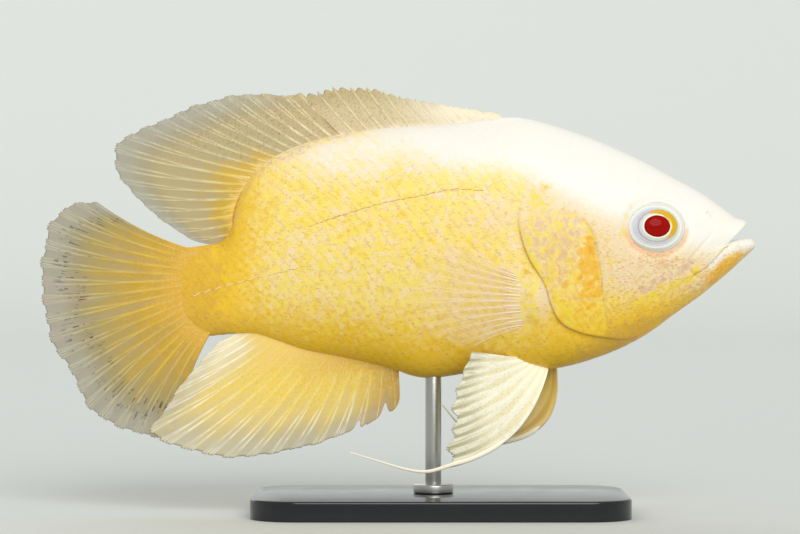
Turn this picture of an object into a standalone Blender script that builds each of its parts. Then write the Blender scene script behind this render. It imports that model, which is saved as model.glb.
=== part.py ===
"""A young adult albino oscar, an aquarium cichlid, as a life-size museum model on a stand.

The fish swims with its head a little raised. It faces +X, +Z is up, and its right side
faces -Y. The origin is the middle of the stand's underside, on the floor. Sizes and
places are in millimetres and are turned to metres when a mesh is made.
"""
import math

import bmesh
import bpy
import numpy as np
from mathutils import Euler, Matrix, Vector
from mathutils.bvhtree import BVHTree

MM = 0.001
GAP = 0.3                 # left between nodes that touch

# Driving sizes of the fish
BODY_RINGS = 36           # rings along the loft of the body, up to the jaws
FRONT_RINGS = (17.0, 18.0, 19.0, 19.6, 20.1, 20.5, 20.9, 21.3, 21.8, 22.4, 23.2, 24.1, 25.0)
RING_POINTS = 28          # points round each section
COVER_PLATE = 3.0         # thickness of a gill cover
COVER_APART = 1.2         # how far each gill cover ends from the middle of the throat
COVER_BULGE = 0.9         # how far the free edge of a gill cover stands off the shoulder
EYE_CENTRE = (63.9, 85.4)
EYE_RADII = (9.1, 5.0, 7.9)      # along the head, across it, and up
EYE_STANDS_OUT = 2.2
EYE_TURN = 11.0           # degrees that the eye looks forward
EYE_LEAN = 6.0            # degrees that it looks up
LIP_RING = 20.8           # the section along which the lips run
LIP_SWELL = 0.9           # how far they stand off the jaws
LIP_REACH = 0.8           # and over how many sections
TAIL_SWAY = 0.0009        # how fast the tail swings to the left behind SWAY_START
SWAY_START = -30.0

# Driving sizes of the fins
DORSAL_SPINES = 13
DORSAL_RAYS = 20
ANAL_SPINES = 3
ANAL_RAYS = 16
CAUDAL_RAYS = 16
PECTORAL_RAYS = 13
PELVIC_RAYS = 6
MEMBRANE = 0.55           # thickness of the skin between two rays
RAY_RIDGE = 0.7           # how much a ray adds to that, over both faces
HALF_FORK = 0.17          # from a soft ray's middle to its branches, in ray spaces

# How a fin is bowed: how far its rays curve off a straight line, as a share of their length
SPINY_BOW = 0.02
SOFT_BOW = 0.03
TAIL_BOW = 0.05           # at its first ray, and as much the other way at its last
# How it waves sideways out at its rim, and over how many radians along its root
SPINY_WAVE = (0.7, 7.0)
SOFT_WAVE = (0.6, 9.0)
ANAL_WAVE = (0.5, 10.0)
TAIL_WAVE = (0.8, 8.0)
ANAL_LEAN = (0.03, 0.2)   # lean to the right at the first spine, and what the last ray adds
# How much its root swells, and up to which share of its height
SPINY_SWELL = (1.8, 0.35)
SOFT_SWELL = (2.6, 0.22)
ANAL_SWELL = (2.4, 0.25)
TAIL_SWELL = (3.4, 0.3)
PECTORAL_SWELL = (1.6, 0.16)
PELVIC_SWELL = (1.2, 0.2)
# How deep the rim is cut in between two rays
SPINY_SCALLOP = 0.10
SOFT_SCALLOP = 0.03
PELVIC_SCALLOP = 0.08

PECTORAL_SUNK = 1.2       # how deep the root of a pectoral fin starts in the flank
PECTORAL_STAND = 2.6      # how far its fleshy base lifts it
PECTORAL_SPREAD = {-1: 4.0, 1: 7.0}      # how far its tips stand off the flank, on each side
PELVIC_CLEAR = 0.9        # from the inner face of a pelvic fin to the belly
FILAMENT_RADII = (0.75, 0.35)

# Driving sizes of the stand
BASE_LENGTH = 112.0
BASE_WIDTH = 68.0
BASE_HEIGHT = 6.0
BASE_CORNER = 14.0
ROD_X = -2.0
ROD_RADIUS = 2.4
ROD_SUNK = 4.0            # into the base
SOCKET_DEPTH = 3.5        # into the belly
COLLAR_RADIUS = 6.0
COLLAR_HEIGHT = 2.5

# Sections of the body from the tail base to the inside of the mouth. A section runs from
# the back through the widest point of the flank to the belly: (x, z) of each, then half
# the width, and how square the upper and lower halves are (2 is an ellipse).
SECTIONS = (
    ((-74.4, 79.8), (-75.0, 66.9), (-74.4, 54.0), 2.6, 2.2, 2.2),      # end of the tail base
    ((-70.2, 80.4), (-70.5, 66.9), (-70.2, 53.1), 4.0, 2.2, 2.2),
    ((-65.4, 81.3), (-66.3, 67.2), (-66.0, 53.4), 5.4, 2.1, 2.1),
    ((-62.7, 85.5), (-63.0, 68.1), (-62.7, 53.7), 6.4, 2.0, 2.0),      # last dorsal ray
    ((-61.2, 92.1), (-59.7, 69.9), (-59.1, 53.7), 7.4, 1.9, 2.0),
    ((-58.2, 99.3), (-55.2, 72.3), (-54.6, 53.4), 8.6, 1.9, 2.0),
    ((-53.4, 104.7), (-49.5, 74.7), (-49.2, 51.6), 10.0, 1.9, 1.9),
    ((-43.2, 110.1), (-41.1, 77.4), (-40.5, 48.7), 12.0, 1.85, 1.9),
    ((-28.5, 114.1), (-28.5, 80.4), (-28.5, 46.5), 14.2, 1.85, 1.9),
    ((-13.5, 115.8), (-15.0, 82.5), (-16.2, 43.9), 15.8, 1.9, 1.95),   # first anal spine
    ((0.0, 116.5), (-1.5, 84.3), (-4.5, 40.6), 16.9, 1.9, 2.05),
    ((13.5, 117.9), (12.0, 84.9), (12.0, 42.4), 17.4, 1.95, 2.15),
    ((24.0, 118.5), (24.0, 83.4), (24.0, 42.7), 17.4, 2.0, 2.2),       # first dorsal spine
    ((36.0, 115.6), (36.0, 81.0), (36.0, 43.6), 17.2, 2.05, 2.2),      # nape
    ((48.0, 111.3), (48.0, 80.1), (48.0, 47.0), 16.2, 2.1, 2.15),
    ((60.0, 105.9), (60.0, 80.1), (60.0, 52.3), 14.6, 2.1, 2.1),       # eye
    ((69.6, 100.8), (69.6, 80.1), (69.6, 59.2), 12.6, 2.1, 2.1),
    ((78.0, 96.2), (76.5, 80.1), (78.0, 65.2), 10.6, 2.1, 2.1),
    ((84.6, 91.6), (81.0, 80.1), (84.6, 70.6), 9.2, 2.1, 2.1),         # jaws
    ((88.2, 88.9), (83.7, 80.1), (89.0, 74.5), 8.2, 2.1, 2.1),
    ((90.2, 87.5), (85.2, 80.3), (92.0, 78.0), 7.5, 2.1, 2.1),
    ((90.9, 86.3), (85.7, 80.5), (93.6, 80.7), 7.0, 2.1, 2.1),         # front of the lips
    ((90.2, 85.3), (85.6, 80.8), (92.6, 82.5), 6.2, 2.1, 2.1),
    ((88.2, 84.3), (84.7, 80.7), (90.2, 81.9), 5.0, 2.1, 2.1),         # inside the mouth
    ((84.6, 82.5), (82.2, 80.4), (84.6, 78.9), 3.6, 2.0, 2.0),
    ((81.6, 81.3), (80.4, 80.1), (81.6, 78.9), 2.0, 2.0, 2.0),
)

# The free edge of the gill cover, which parts the head from the trunk, from above the
# nape down behind the cover and forward under it to the throat.
GILL_EDGE = ((30.7, 123.1), (27.8, 107.4), (23.9, 93.6), (23.0, 85.8), (25.7, 76.7),
             (30.6, 68.7), (32.4, 62.8), (35.5, 57.3), (41.6, 54.2), (48.9, 52.8),
             (55.2, 52.2), (60.1, 53.8), (64.2, 56.5), (68.5, 52.4))
# The rest of the gill cover's outline: over its top and down the edge of the cheek.
COVER_FRONT = ((23.7, 87.2), (27.3, 89.3), (33.2, 90.1), (39.1, 89.5), (43.0, 86.8),
               (45.3, 81.9), (47.1, 73.8), (48.1, 64.2), (49.1, 57.7), (48.5, 53.4))
# The line of the mouth: from the gape back along the lower jaw, then down to the throat.
MOUTH_LINE = ((96.5, 84.0), (86.2, 80.6), (82.0, 76.4), (78.2, 73.0), (75.2, 71.0),
              (72.4, 66.6), (71.6, 60.0), (71.0, 50.0))
# The fold behind the upper jaw, from its end at the mouth line up to the snout.
UPPER_JAW_FOLD = ((76.7, 70.6), (74.1, 72.6), (74.5, 76.4), (78.5, 81.1), (82.4, 85.9),
                  (84.8, 91.8), (87.6, 98.7))
NOSTRIL = (79.8, 89.6)
NOSTRIL_RADIUS = 0.6
# The line that parts the tail base from the trunk, under the last ray of the dorsal fin
PEDUNCLE_LINE = ((-50.0, 30.0), (-85.0, 146.0))

# Outlines of the fins in side view: where the rays grow from, and where they end
SPINY_ROOT = ((21.4, 116.4), (9.0, 115.8), (-4.0, 114.6), (-16.0, 113.8), (-28.4, 112.0))
SPINY_EDGE = ((17.4, 120.0), (3.0, 122.6), (-8.7, 124.4), (-15.0, 126.0), (-19.8, 127.4),
              (-27.6, 128.0), (-36.0, 126.9), (-42.0, 125.9))
SOFT_ROOT = ((-28.9, 111.9), (-43.6, 106.0), (-52.4, 101.6), (-58.4, 96.6), (-61.2, 91.4),
             (-61.8, 86.0), (-60.2, 81.6))
SOFT_EDGE = ((-42.5, 125.8), (-51.0, 126.0), (-61.0, 125.7), (-68.7, 123.9), (-77.1, 121.2),
             (-85.8, 117.6), (-93.3, 114.0), (-98.4, 110.6), (-98.1, 103.0), (-94.0, 97.6),
             (-89.4, 92.4), (-82.5, 86.6), (-74.4, 81.9), (-69.8, 80.6))
ANAL_ROOT = ((-13.6, 42.4), (-19.0, 45.0), (-26.0, 47.4), (-36.3, 49.2), (-44.4, 50.8),
             (-50.4, 53.4), (-57.6, 56.0))
ANAL_EDGE = ((-12.6, 32.4), (-16.6, 29.6), (-20.0, 27.0), (-26.4, 24.0), (-33.0, 21.6),
             (-42.0, 19.2), (-53.0, 17.6), (-63.3, 17.0), (-73.8, 18.6), (-81.0, 20.8),
             (-86.4, 24.8), (-83.4, 30.2), (-78.0, 38.2), (-71.8, 45.4), (-66.0, 51.6))
CAUDAL_ROOT = ((-71.4, 78.4), (-72.4, 72.6), (-72.6, 66.9), (-71.6, 60.4), (-68.4, 54.8))
CAUDAL_EDGE = ((-104.4, 94.2), (-112.2, 93.6), (-116.7, 90.0), (-120.0, 85.5), (-121.5, 77.7),
               (-121.5, 70.5), (-120.4, 63.9), (-118.8, 57.6), (-117.0, 50.4), (-113.2, 44.4),
               (-109.4, 37.8), (-104.4, 29.4), (-97.6, 25.4), (-88.6, 22.8), (-79.6, 22.4))
PECTORAL_ROOT = ((24.7, 69.9), (26.1, 66.3), (26.5, 61.6), (25.9, 56.9))
PECTORAL_EDGE = ((4.1, 83.8), (-1.8, 80.5), (-5.5, 75.2), (-8.1, 69.7), (-8.7, 64.0),
                 (-6.9, 58.3), (-3.2, 54.0), (2.3, 50.9), (9.1, 49.7))
# Each pelvic fin: its outline, the free filament that its first ray runs on into, the bow of
# that ray, how far from the middle its first ray, its last ray and its tip are, and how far
# past the tip the filament comes free of the fin.
RIGHT_PELVIC = {
    "side": -1, "bow": 0.165, "root_y": (3.0, 5.8), "tip_y": 12.0, "free_after": 1.0,
    "root": ((32.2, 43.8), (27.8, 45.0), (23.8, 46.8)),
    "edge": ((1.8, 14.2), (2.0, 19.3), (3.2, 24.1), (4.2, 28.2), (3.5, 32.0),
             (4.6, 36.5), (6.0, 41.4), (7.5, 45.8), (9.3, 48.9)),
    "filament": ((-3.5, 13.3), (-9.6, 13.8), (-17.9, 16.2), (-27.4, 19.1)),
}
LEFT_PELVIC = {
    "side": 1, "bow": 0.28, "root_y": (3.0, 5.4), "tip_y": 9.0, "free_after": 4.0,
    "root": ((35.0, 44.6), (31.2, 45.0), (27.6, 46.2)),
    "edge": ((15.6, 20.0), (12.4, 23.0), (10.6, 26.8), (10.0, 30.9), (11.0, 35.1),
             (13.2, 38.5), (16.6, 41.1)),
    "filament": ((11.6, 21.5), (7.8, 24.1), (4.4, 27.7), (0.7, 32.2)),
}


def clear_scene():
    for obj in list(bpy.data.objects):
        bpy.data.objects.remove(obj)


def smooth_curve(points, at):
    """Catmull-Rom curve through the points, read at the parameters at, from 0 to len - 1."""
    points = np.asarray(points, float)
    at = np.clip(np.asarray(at, float), 0, len(points) - 1)
    i = np.minimum(at.astype(int), len(points) - 2)
    t = (at - i)[:, None]
    before, after = points[np.maximum(i - 1, 0)], points[np.minimum(i + 2, len(points) - 1)]
    a, b = points[i], points[i + 1]
    return 0.5 * (2 * a + (b - before) * t + (2 * before - 5 * a + 4 * b - after) * t**2
                  + (3 * a - before - 3 * b + after) * t**3)


def along(points, shares, fine=400):
    """Points at these shares of the length of the smooth curve through the points."""
    line = smooth_curve(points, np.linspace(0, len(points) - 1, fine))
    run = np.concatenate([[0], np.cumsum(np.linalg.norm(np.diff(line, axis=0), axis=1))])
    wanted = np.asarray(shares, float) * run[-1]
    return np.stack([np.interp(wanted, run, line[:, k]) for k in range(line.shape[1])], axis=1)


def run_length(line):
    return np.linalg.norm(np.diff(line, axis=0), axis=1).sum()


def ease(low, high, value):
    """Rises smoothly from 0 at low to 1 at high."""
    t = np.clip((value - low) / (high - low), 0, 1)
    return t * t * (3 - 2 * t)


def finish(name, vertices, faces, collection):
    mesh = bpy.data.meshes.new(name)
    mesh.from_pydata([tuple(float(c) * MM for c in v) for v in vertices], [], faces)
    mesh.validate()
    obj = bpy.data.objects.new(name, mesh)
    collection.objects.link(obj)
    return obj


def grid_faces(rows, columns, closed, start=0):
    """Quads of a grid whose columns run round a closed ring, or side by side."""
    faces = []
    for r in range(rows - 1):
        for c in range(columns if closed else columns - 1):
            a, b = start + r * columns + c, start + r * columns + (c + 1) % columns
            faces.append((a, b, b + columns, a + columns))
    return faces


def face_outwards(obj):
    bm = bmesh.new()
    bm.from_mesh(obj.data)
    bmesh.ops.recalc_face_normals(bm, faces=bm.faces)
    bm.to_mesh(obj.data)
    bm.free()


def replace_mesh(obj):
    """Makes the modifiers of obj part of its mesh."""
    graph = bpy.context.evaluated_depsgraph_get()
    mesh = bpy.data.meshes.new_from_object(obj.evaluated_get(graph))
    obj.modifiers.clear()
    obj.data = mesh


def combine(obj, other, operation, drop=True):
    modifier = obj.modifiers.new(operation.lower(), "BOOLEAN")
    modifier.operation = operation
    modifier.object = other
    replace_mesh(obj)
    if drop:
        bpy.data.objects.remove(other)


def keep_largest(obj):
    """Keeps only the largest closed surface of obj."""
    bm = bmesh.new()
    bm.from_mesh(obj.data)
    bmesh.ops.remove_doubles(bm, verts=bm.verts, dist=1e-7)
    left, groups = set(bm.verts), []
    while left:
        stack = [left.pop()]
        group = set(stack)
        while stack:
            for edge in stack.pop().link_edges:
                for vertex in edge.verts:
                    if vertex in left:
                        left.discard(vertex)
                        group.add(vertex)
                        stack.append(vertex)
        groups.append(group)
    largest = max(groups, key=lambda g: np.ptp([v.co for v in g], axis=0).prod())
    bmesh.ops.delete(bm, geom=[v for v in bm.verts if v not in largest], context="VERTS")
    bm.to_mesh(obj.data)
    bm.free()


SECTION_ROWS = np.array([[*back, *flank, *belly, half, up, down]
                         for back, flank, belly, half, up, down in SECTIONS])


def body_low(x):
    """The height of the belly at this place along the body."""
    low = smooth_curve(SECTION_ROWS, np.linspace(0, 21, 200))[:, 4:6]
    return np.interp(x, low[:, 0], low[:, 1])


def section_point(row, angle):
    """The point of one section at this angle: 0 on the left flank, a quarter turn at the back."""
    c, s = math.cos(angle), math.sin(angle)
    power = 2 / (row[7] if s >= 0 else row[8])
    side = math.copysign(abs(c) ** power, c) if abs(c) > 1e-9 else 0.0
    target = row[0:2] if s >= 0 else row[4:6]
    x, z = row[2:4] + (target - row[2:4]) * abs(s) ** power
    return x, row[6] * side, z


def body_loft(name, collection, grow=0.0, bulge=0.0, first=0.0, last=25.0):
    """The body between two of its sections as one closed surface, thicker by grow all over."""
    at = np.array([*np.linspace(0, FRONT_RINGS[0], BODY_RINGS)[:-1], *FRONT_RINGS])
    at = at[(at >= first) & (at <= last)]
    rows = smooth_curve(SECTION_ROWS, at)
    angles = np.linspace(0, 2 * math.pi, RING_POINTS, endpoint=False)
    places = np.array([[section_point(row, angle) for angle in angles] for row in rows])
    out = np.cross(np.gradient(places, axis=0), np.roll(places, -1, axis=1) - np.roll(places, 1, axis=1))
    out /= np.linalg.norm(out, axis=2)[..., None]
    out *= np.sign((out * (places - places.mean(axis=1)[:, None])).sum())
    lips = LIP_SWELL * np.exp(-(((at - LIP_RING) / LIP_REACH) ** 2))
    places += out * (grow + lips[:, None, None])
    places[0, :, 0] -= grow
    rise = np.vectorize(gill_bulge)(places[..., 0], places[..., 2])
    places[..., 1] += bulge * rise * np.clip(places[..., 1], -1, 1)
    faces = grid_faces(len(at), RING_POINTS, True)
    faces.append(tuple(range(RING_POINTS)))
    end = (len(at) - 1) * RING_POINTS
    faces.append(tuple(end + i for i in reversed(range(RING_POINTS))))
    obj = finish(name, places.reshape(-1, 3), faces, collection)
    face_outwards(obj)
    return obj


def gill_bulge(x, z):
    """1 at the free edge of the gill cover, fading forward over the cheek and up to the nape."""
    forward = 1 - ease(0.0, 24.0, x - np.interp(z, [50, 56, 66, 77, 86, 95], [54, 38, 31, 26, 23, 24]))
    return float(forward * ease(104.0, 90.0, z))


def prism(name, outline, collection, low=-40.0, high=40.0):
    """The outline in the XZ plane, run from y = low to y = high."""
    count = len(outline)
    vertices = [(x, low, z) for x, z in outline] + [(x, high, z) for x, z in outline]
    faces = [tuple(range(count)), tuple(count + i for i in reversed(range(count)))]
    faces += [(i, i + count, (i + 1) % count + count, (i + 1) % count) for i in range(count)]
    obj = finish(name, vertices, faces, collection)
    obj.hide_render = True
    obj.display_type = "WIRE"
    bm = bmesh.new()
    bm.from_mesh(obj.data)
    bmesh.ops.triangulate(bm, faces=[f for f in bm.faces if len(f.verts) > 4])
    bmesh.ops.recalc_face_normals(bm, faces=bm.faces)
    bm.to_mesh(obj.data)
    bm.free()
    return obj


def shifted(line, distance):
    """The line moved sideways by distance, to the left of its run."""
    line = np.asarray(line, float)
    run = np.gradient(line, axis=0)
    run /= np.linalg.norm(run, axis=1)[:, None]
    return line + distance * np.stack([-run[:, 1], run[:, 0]], axis=1)


def parted(name, source, outlines, collection):
    """A copy of source cut down to what lies inside every outline."""
    obj = source.copy()
    obj.data = source.data.copy()
    obj.name = name
    collection.objects.link(obj)
    for number, outline in enumerate(outlines):
        combine(obj, prism(f"{name}_cutter_{number}", outline, collection), "INTERSECT")
    keep_largest(obj)
    return obj


def ellipsoid(name, centre, radii, turn, collection, segments=18, rings=11):
    """An ellipsoid whose poles face sideways, turned by these angles about its centre."""
    bm = bmesh.new()
    bmesh.ops.create_uvsphere(bm, u_segments=segments, v_segments=rings, radius=1.0)
    bmesh.ops.rotate(bm, verts=bm.verts, matrix=Matrix.Rotation(math.pi / 2, 3, "X"))
    turned = Euler(turn).to_matrix()
    for vertex in bm.verts:
        local = Vector([v * r for v, r in zip(vertex.co, radii)])
        vertex.co = (turned @ local + Vector(centre)) * MM
    mesh = bpy.data.meshes.new(name)
    bm.to_mesh(mesh)
    bm.free()
    obj = bpy.data.objects.new(name, mesh)
    collection.objects.link(obj)
    return obj


def tube(name, line, radii, collection):
    """A tapered rod of six sides along the line, made from a curve and turned into a mesh."""
    curve = bpy.data.curves.new(name, "CURVE")
    curve.dimensions = "3D"
    curve.bevel_depth = MM
    curve.bevel_resolution = 1
    curve.use_fill_caps = True
    spline = curve.splines.new("POLY")
    spline.points.add(len(line) - 1)
    for point, place, radius in zip(spline.points, line, radii):
        point.co = (*[float(c) * MM for c in place], 1)
        point.radius = radius
    source = bpy.data.objects.new(name, curve)
    collection.objects.link(source)
    graph = bpy.context.evaluated_depsgraph_get()
    mesh = bpy.data.meshes.new_from_object(source.evaluated_get(graph))
    bm = bmesh.new()
    bm.from_mesh(mesh)
    bmesh.ops.remove_doubles(bm, verts=bm.verts, dist=1e-6)
    bmesh.ops.recalc_face_normals(bm, faces=bm.faces)
    bm.to_mesh(mesh)
    bm.free()
    bpy.data.objects.remove(source)
    obj = bpy.data.objects.new(name, mesh)
    collection.objects.link(obj)
    return obj


def ray_columns(spines, rays):
    """The columns of a fin from its first ray to its last: (place, crest, fork).

    A spine is one crest. A soft ray is a crest that forks in two on its way out. Between
    two rays lies the membrane, which is neither.
    """
    count = spines + rays
    half_fork = HALF_FORK / (count - 1)
    columns = []
    for i in range(count):
        place = i / (count - 1)
        if i < spines or i in (0, count - 1):
            columns.append((place, 1.0, 0.0))
        else:
            columns.append((place - half_fork, 1.0, 0.0))
            columns.append((place, 1.0, 1.0))
            columns.append((place + half_fork, 1.0, 0.0))
        if i < count - 1:
            columns.append((place + 0.5 / (count - 1), 0.0, 0.0))
    return columns


def fin_sheet(name, columns, rows, middle, base, collection, scallop):
    """A fin: a thin sheet on the surface middle(u, v), with its rays raised on both faces.

    base(v) is the thickness of the membrane at the share v of the way out.
    """
    places, thick = [], []
    for row in rows:
        for place, crest, fork in columns:
            reach = 1 - scallop * (1 - crest) - 0.4 * scallop * fork
            places.append(middle(place, row * reach))
            raised = crest * (1 - fork * ease(0.3, 0.6, row)) * (1 - 0.65 * row)
            thick.append(base(row) + RAY_RIDGE * raised)
    count = len(columns)
    places = np.array(places).reshape(len(rows), count, 3)
    thick = np.array(thick).reshape(len(rows), count, 1)
    out = np.cross(np.gradient(places, axis=0), np.gradient(places, axis=1))
    out /= np.linalg.norm(out, axis=2)[..., None]
    front = (places + out * thick / 2).reshape(-1, 3)
    back = (places - out * thick / 2).reshape(-1, 3)
    shift = len(front)
    faces = []
    for a, b, c, d in grid_faces(len(rows), count, False):
        faces += [(a, b, c), (a, c, d), (shift + a, shift + c, shift + b), (shift + a, shift + d, shift + c)]
    last = (len(rows) - 1) * count
    rim = list(range(count)) + [r * count + count - 1 for r in range(1, len(rows))]
    rim += [last + i for i in reversed(range(count - 1))]
    rim += [r * count for r in reversed(range(1, len(rows) - 1))]
    for a, b in zip(rim, rim[1:] + rim[:1]):
        faces += [(b, a, shift + a), (b, shift + a, shift + b)]
    obj = finish(name, [*front, *back], faces, collection)
    face_outwards(obj)
    return obj


def fan(root, edge, bow):
    """Maps (u, v) to (x, z): v runs out along the ray that starts at the share u of the root."""
    def at(u, v):
        start, end = along(root, [u])[0], along(edge, [u])[0]
        run = end - start
        side = np.array([-run[1], run[0]])
        return start + run * v + side * bow(u) * 4 * v * (1 - v)
    return at


def material(name, colour, roughness, metallic=0.0):
    made = bpy.data.materials.new(name)
    made.use_nodes = True
    shader = made.node_tree.nodes["Principled BSDF"]
    shader.inputs["Base Color"].default_value = (*colour, 1)
    shader.inputs["Roughness"].default_value = roughness
    shader.inputs["Metallic"].default_value = metallic
    return made


def dress(obj, finish_of):
    obj.data.materials.clear()
    obj.data.materials.append(finish_of)
    obj.data.shade_smooth()
    obj.data.set_sharp_from_angle(angle=math.radians(35))


clear_scene()
model = bpy.data.collections.new("oscar_fish")
helpers = bpy.data.collections.new("helpers")
bpy.context.scene.collection.children.link(model)
bpy.context.scene.collection.children.link(helpers)
helpers.hide_render = True

skin = material("skin", (0.93, 0.83, 0.52), 0.4)
fin_skin = material("fin_membrane", (0.9, 0.86, 0.7), 0.35)
eye_white = material("eye", (0.75, 0.75, 0.72), 0.1)
acrylic = material("stand_acrylic", (0.03, 0.03, 0.035), 0.2)
steel = material("stand_steel", (0.6, 0.6, 0.6), 0.25, 1.0)

# The body, with its lips, before it is parted
head_side = body_loft("head_loft", helpers, bulge=COVER_BULGE)
trunk_side = body_loft("trunk_loft", helpers)
grown = body_loft("grown_body", helpers, grow=GAP)
under_cover = body_loft("under_cover", helpers, grow=-COVER_PLATE, first=9, last=17)
bare = body_loft("bare_body", helpers)
flank_tree = BVHTree.FromPolygons([v.co / MM for v in bare.data.vertices],
                                  [tuple(p.vertices) for p in bare.data.polygons])


def flank_y(x, z):
    """Half the width of the body at this place of the side view, or 0 off the body."""
    hit = flank_tree.ray_cast(Vector((float(x), -60.0, float(z))), Vector((0, 1, 0)))[0]
    return -hit.y if hit else 0.0


gill_line = smooth_curve(GILL_EDGE, np.linspace(0, len(GILL_EDGE) - 1, 27))
cover_line = smooth_curve(COVER_FRONT, np.linspace(0, len(COVER_FRONT) - 1, 19))
jaw_line = smooth_curve(MOUTH_LINE, np.linspace(0, len(MOUTH_LINE) - 1, 15))
fold_line = smooth_curve(UPPER_JAW_FOLD, np.linspace(0, len(UPPER_JAW_FOLD) - 1, 13))


def side_of(line, distance, corners):
    """A closed outline: the line moved sideways, and then round these corners."""
    return [*shifted(line, distance), *corners]


behind_gills = side_of(gill_line, -GAP / 2, [(70, 10), (-140, 10), (-140, 150), (31, 150)])
before_gills = side_of(gill_line, GAP / 2, [(70, 10), (140, 10), (140, 150), (31, 150)])
under_mouth = side_of(jaw_line, GAP / 2, [(71, 10), (140, 10), (140, 84)])
over_mouth = side_of(jaw_line, -GAP / 2, [(71, 10), (-140, 10), (-140, 150), (140, 150), (140, 84)])
before_fold = side_of(fold_line, -GAP / 2, [(140, 99), (140, 40), (77.6, 40)])
behind_fold = side_of(fold_line, GAP / 2, [(88.6, 150), (-140, 150), (-140, 10), (77.6, 10)])
behind_peduncle = side_of(PEDUNCLE_LINE, GAP / 2, [(-150, 146), (-150, 30)])
before_peduncle = side_of(PEDUNCLE_LINE, -GAP / 2, [(150, 146), (150, 30)])

trunk = parted("trunk", trunk_side, [behind_gills, before_peduncle], model)
peduncle = parted("tail_peduncle", trunk_side, [behind_peduncle], model)
lower_jaw = parted("lower_jaw", head_side, [before_gills, under_mouth], model)
upper_jaw = parted("upper_jaw", head_side, [before_gills, over_mouth, before_fold], model)
head = parted("head", head_side, [before_gills, over_mouth, behind_fold], model)

# The gill covers: a curved plate on each side, let into the head
below_cover = [(48, 30), (5, 30), (5, 86)]
for name, side in (("gill_cover_right", -1), ("gill_cover_left", 1)):
    low, high = sorted((side * COVER_APART, side * 40.0))
    cover = parted(name, head_side, [before_gills], model)
    outline = side_of(cover_line, -GAP / 2, below_cover)
    combine(cover, prism("cover_outline", outline, helpers, low, high), "INTERSECT")
    combine(cover, under_cover, "DIFFERENCE", drop=False)
    keep_largest(cover)
    dress(cover, skin)
    low, high = sorted((side * (COVER_APART - GAP), side * 41.0))
    recess = prism("cover_recess", side_of(cover_line, GAP / 2, below_cover), helpers, low, high)
    floor = body_loft("recess_floor", helpers, grow=-COVER_PLATE - GAP, first=9, last=17)
    combine(recess, floor, "DIFFERENCE")
    combine(head, recess, "DIFFERENCE")
keep_largest(head)

# The eyes, each in its socket, turned as the side of the head is
for name, side in (("eye_right", -1), ("eye_left", 1)):
    x, z = EYE_CENTRE
    centre = (x, side * (flank_y(x, z) + EYE_STANDS_OUT - EYE_RADII[1]), z)
    turn = (math.radians(EYE_LEAN) * side, 0.0, math.radians(-EYE_TURN) * side)
    eye = ellipsoid(name, centre, EYE_RADII, turn, model)
    dress(eye, eye_white)
    socket = ellipsoid("socket", centre, [r + GAP for r in EYE_RADII], turn, helpers)
    combine(head, socket, "DIFFERENCE")
    x, z = NOSTRIL
    pit = ellipsoid("nostril", (x, side * flank_y(x, z), z), [NOSTRIL_RADIUS] * 3,
                    (0, 0, 0), helpers, 8, 6)
    combine(head, pit, "DIFFERENCE")
keep_largest(head)


# Fins on the middle of the body
def wavering(at, swing):
    """A fin's surface from its side view and its sideways swing, both as functions."""
    def middle(u, v):
        x, z = at(u, v)
        return x, swing(u, v), z
    return middle


def rooted(name, sheet):
    """Cuts the root of a fin to the shape of the body, a gap away from it."""
    combine(sheet, grown, "DIFFERENCE", drop=False)
    keep_largest(sheet)
    dress(sheet, fin_skin)
    return sheet


def root_swell(swell):
    """The thickness of a membrane that swells into a scaly root."""
    most, reach = swell
    return lambda v: MEMBRANE + most * math.exp(-((v / reach) ** 2))


def wave(size, u):
    most, radians = size
    return most * math.sin(radians * u)


spiny_at = fan(SPINY_ROOT, SPINY_EDGE, lambda u: SPINY_BOW)
spiny = fin_sheet("dorsal_fin_front", ray_columns(DORSAL_SPINES, 0), np.linspace(0, 1, 5),
                  wavering(spiny_at, lambda u, v: v * wave(SPINY_WAVE, u)),
                  root_swell(SPINY_SWELL), model, SPINY_SCALLOP)
rooted("dorsal_fin_front", spiny)

soft_at = fan(SOFT_ROOT, SOFT_EDGE, lambda u: SOFT_BOW)
soft = fin_sheet("dorsal_fin_rear", ray_columns(0, DORSAL_RAYS), np.linspace(0, 1, 6),
                 wavering(soft_at, lambda u, v: v * (wave(SPINY_WAVE, 1) + wave(SOFT_WAVE, u))),
                 root_swell(SOFT_SWELL), model, SOFT_SCALLOP)
rooted("dorsal_fin_rear", soft)

anal_at = fan(ANAL_ROOT, ANAL_EDGE, lambda u: SOFT_BOW)


def anal_swing(u, v):
    """The anal fin leans to the right, so that its rear lobe passes beside the tail fin."""
    out = np.linalg.norm(anal_at(u, v) - anal_at(u, 0))
    return v * wave(ANAL_WAVE, u) - out * (ANAL_LEAN[0] + ANAL_LEAN[1] * u)


anal = fin_sheet("anal_fin", ray_columns(ANAL_SPINES, ANAL_RAYS), np.linspace(0, 1, 6),
                 wavering(anal_at, anal_swing), root_swell(ANAL_SWELL), model, SOFT_SCALLOP)
rooted("anal_fin", anal)

caudal_at = fan(CAUDAL_ROOT, CAUDAL_EDGE, lambda u: TAIL_BOW * (1 - 2 * u))
caudal = fin_sheet("caudal_fin", ray_columns(0, CAUDAL_RAYS), np.linspace(0, 1, 7),
                   wavering(caudal_at, lambda u, v: v * wave(TAIL_WAVE, u)),
                   root_swell(TAIL_SWELL), model, SOFT_SCALLOP)
rooted("caudal_fin", caudal)


# Paired fins
def off_flank(at, side, stands):
    """A paired fin's surface: its side view, pushed out from the body by stands(v)."""
    def middle(u, v):
        x, z = at(u, v)
        return x, side * (flank_y(x, z) + stands(v)), z
    return middle


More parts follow.
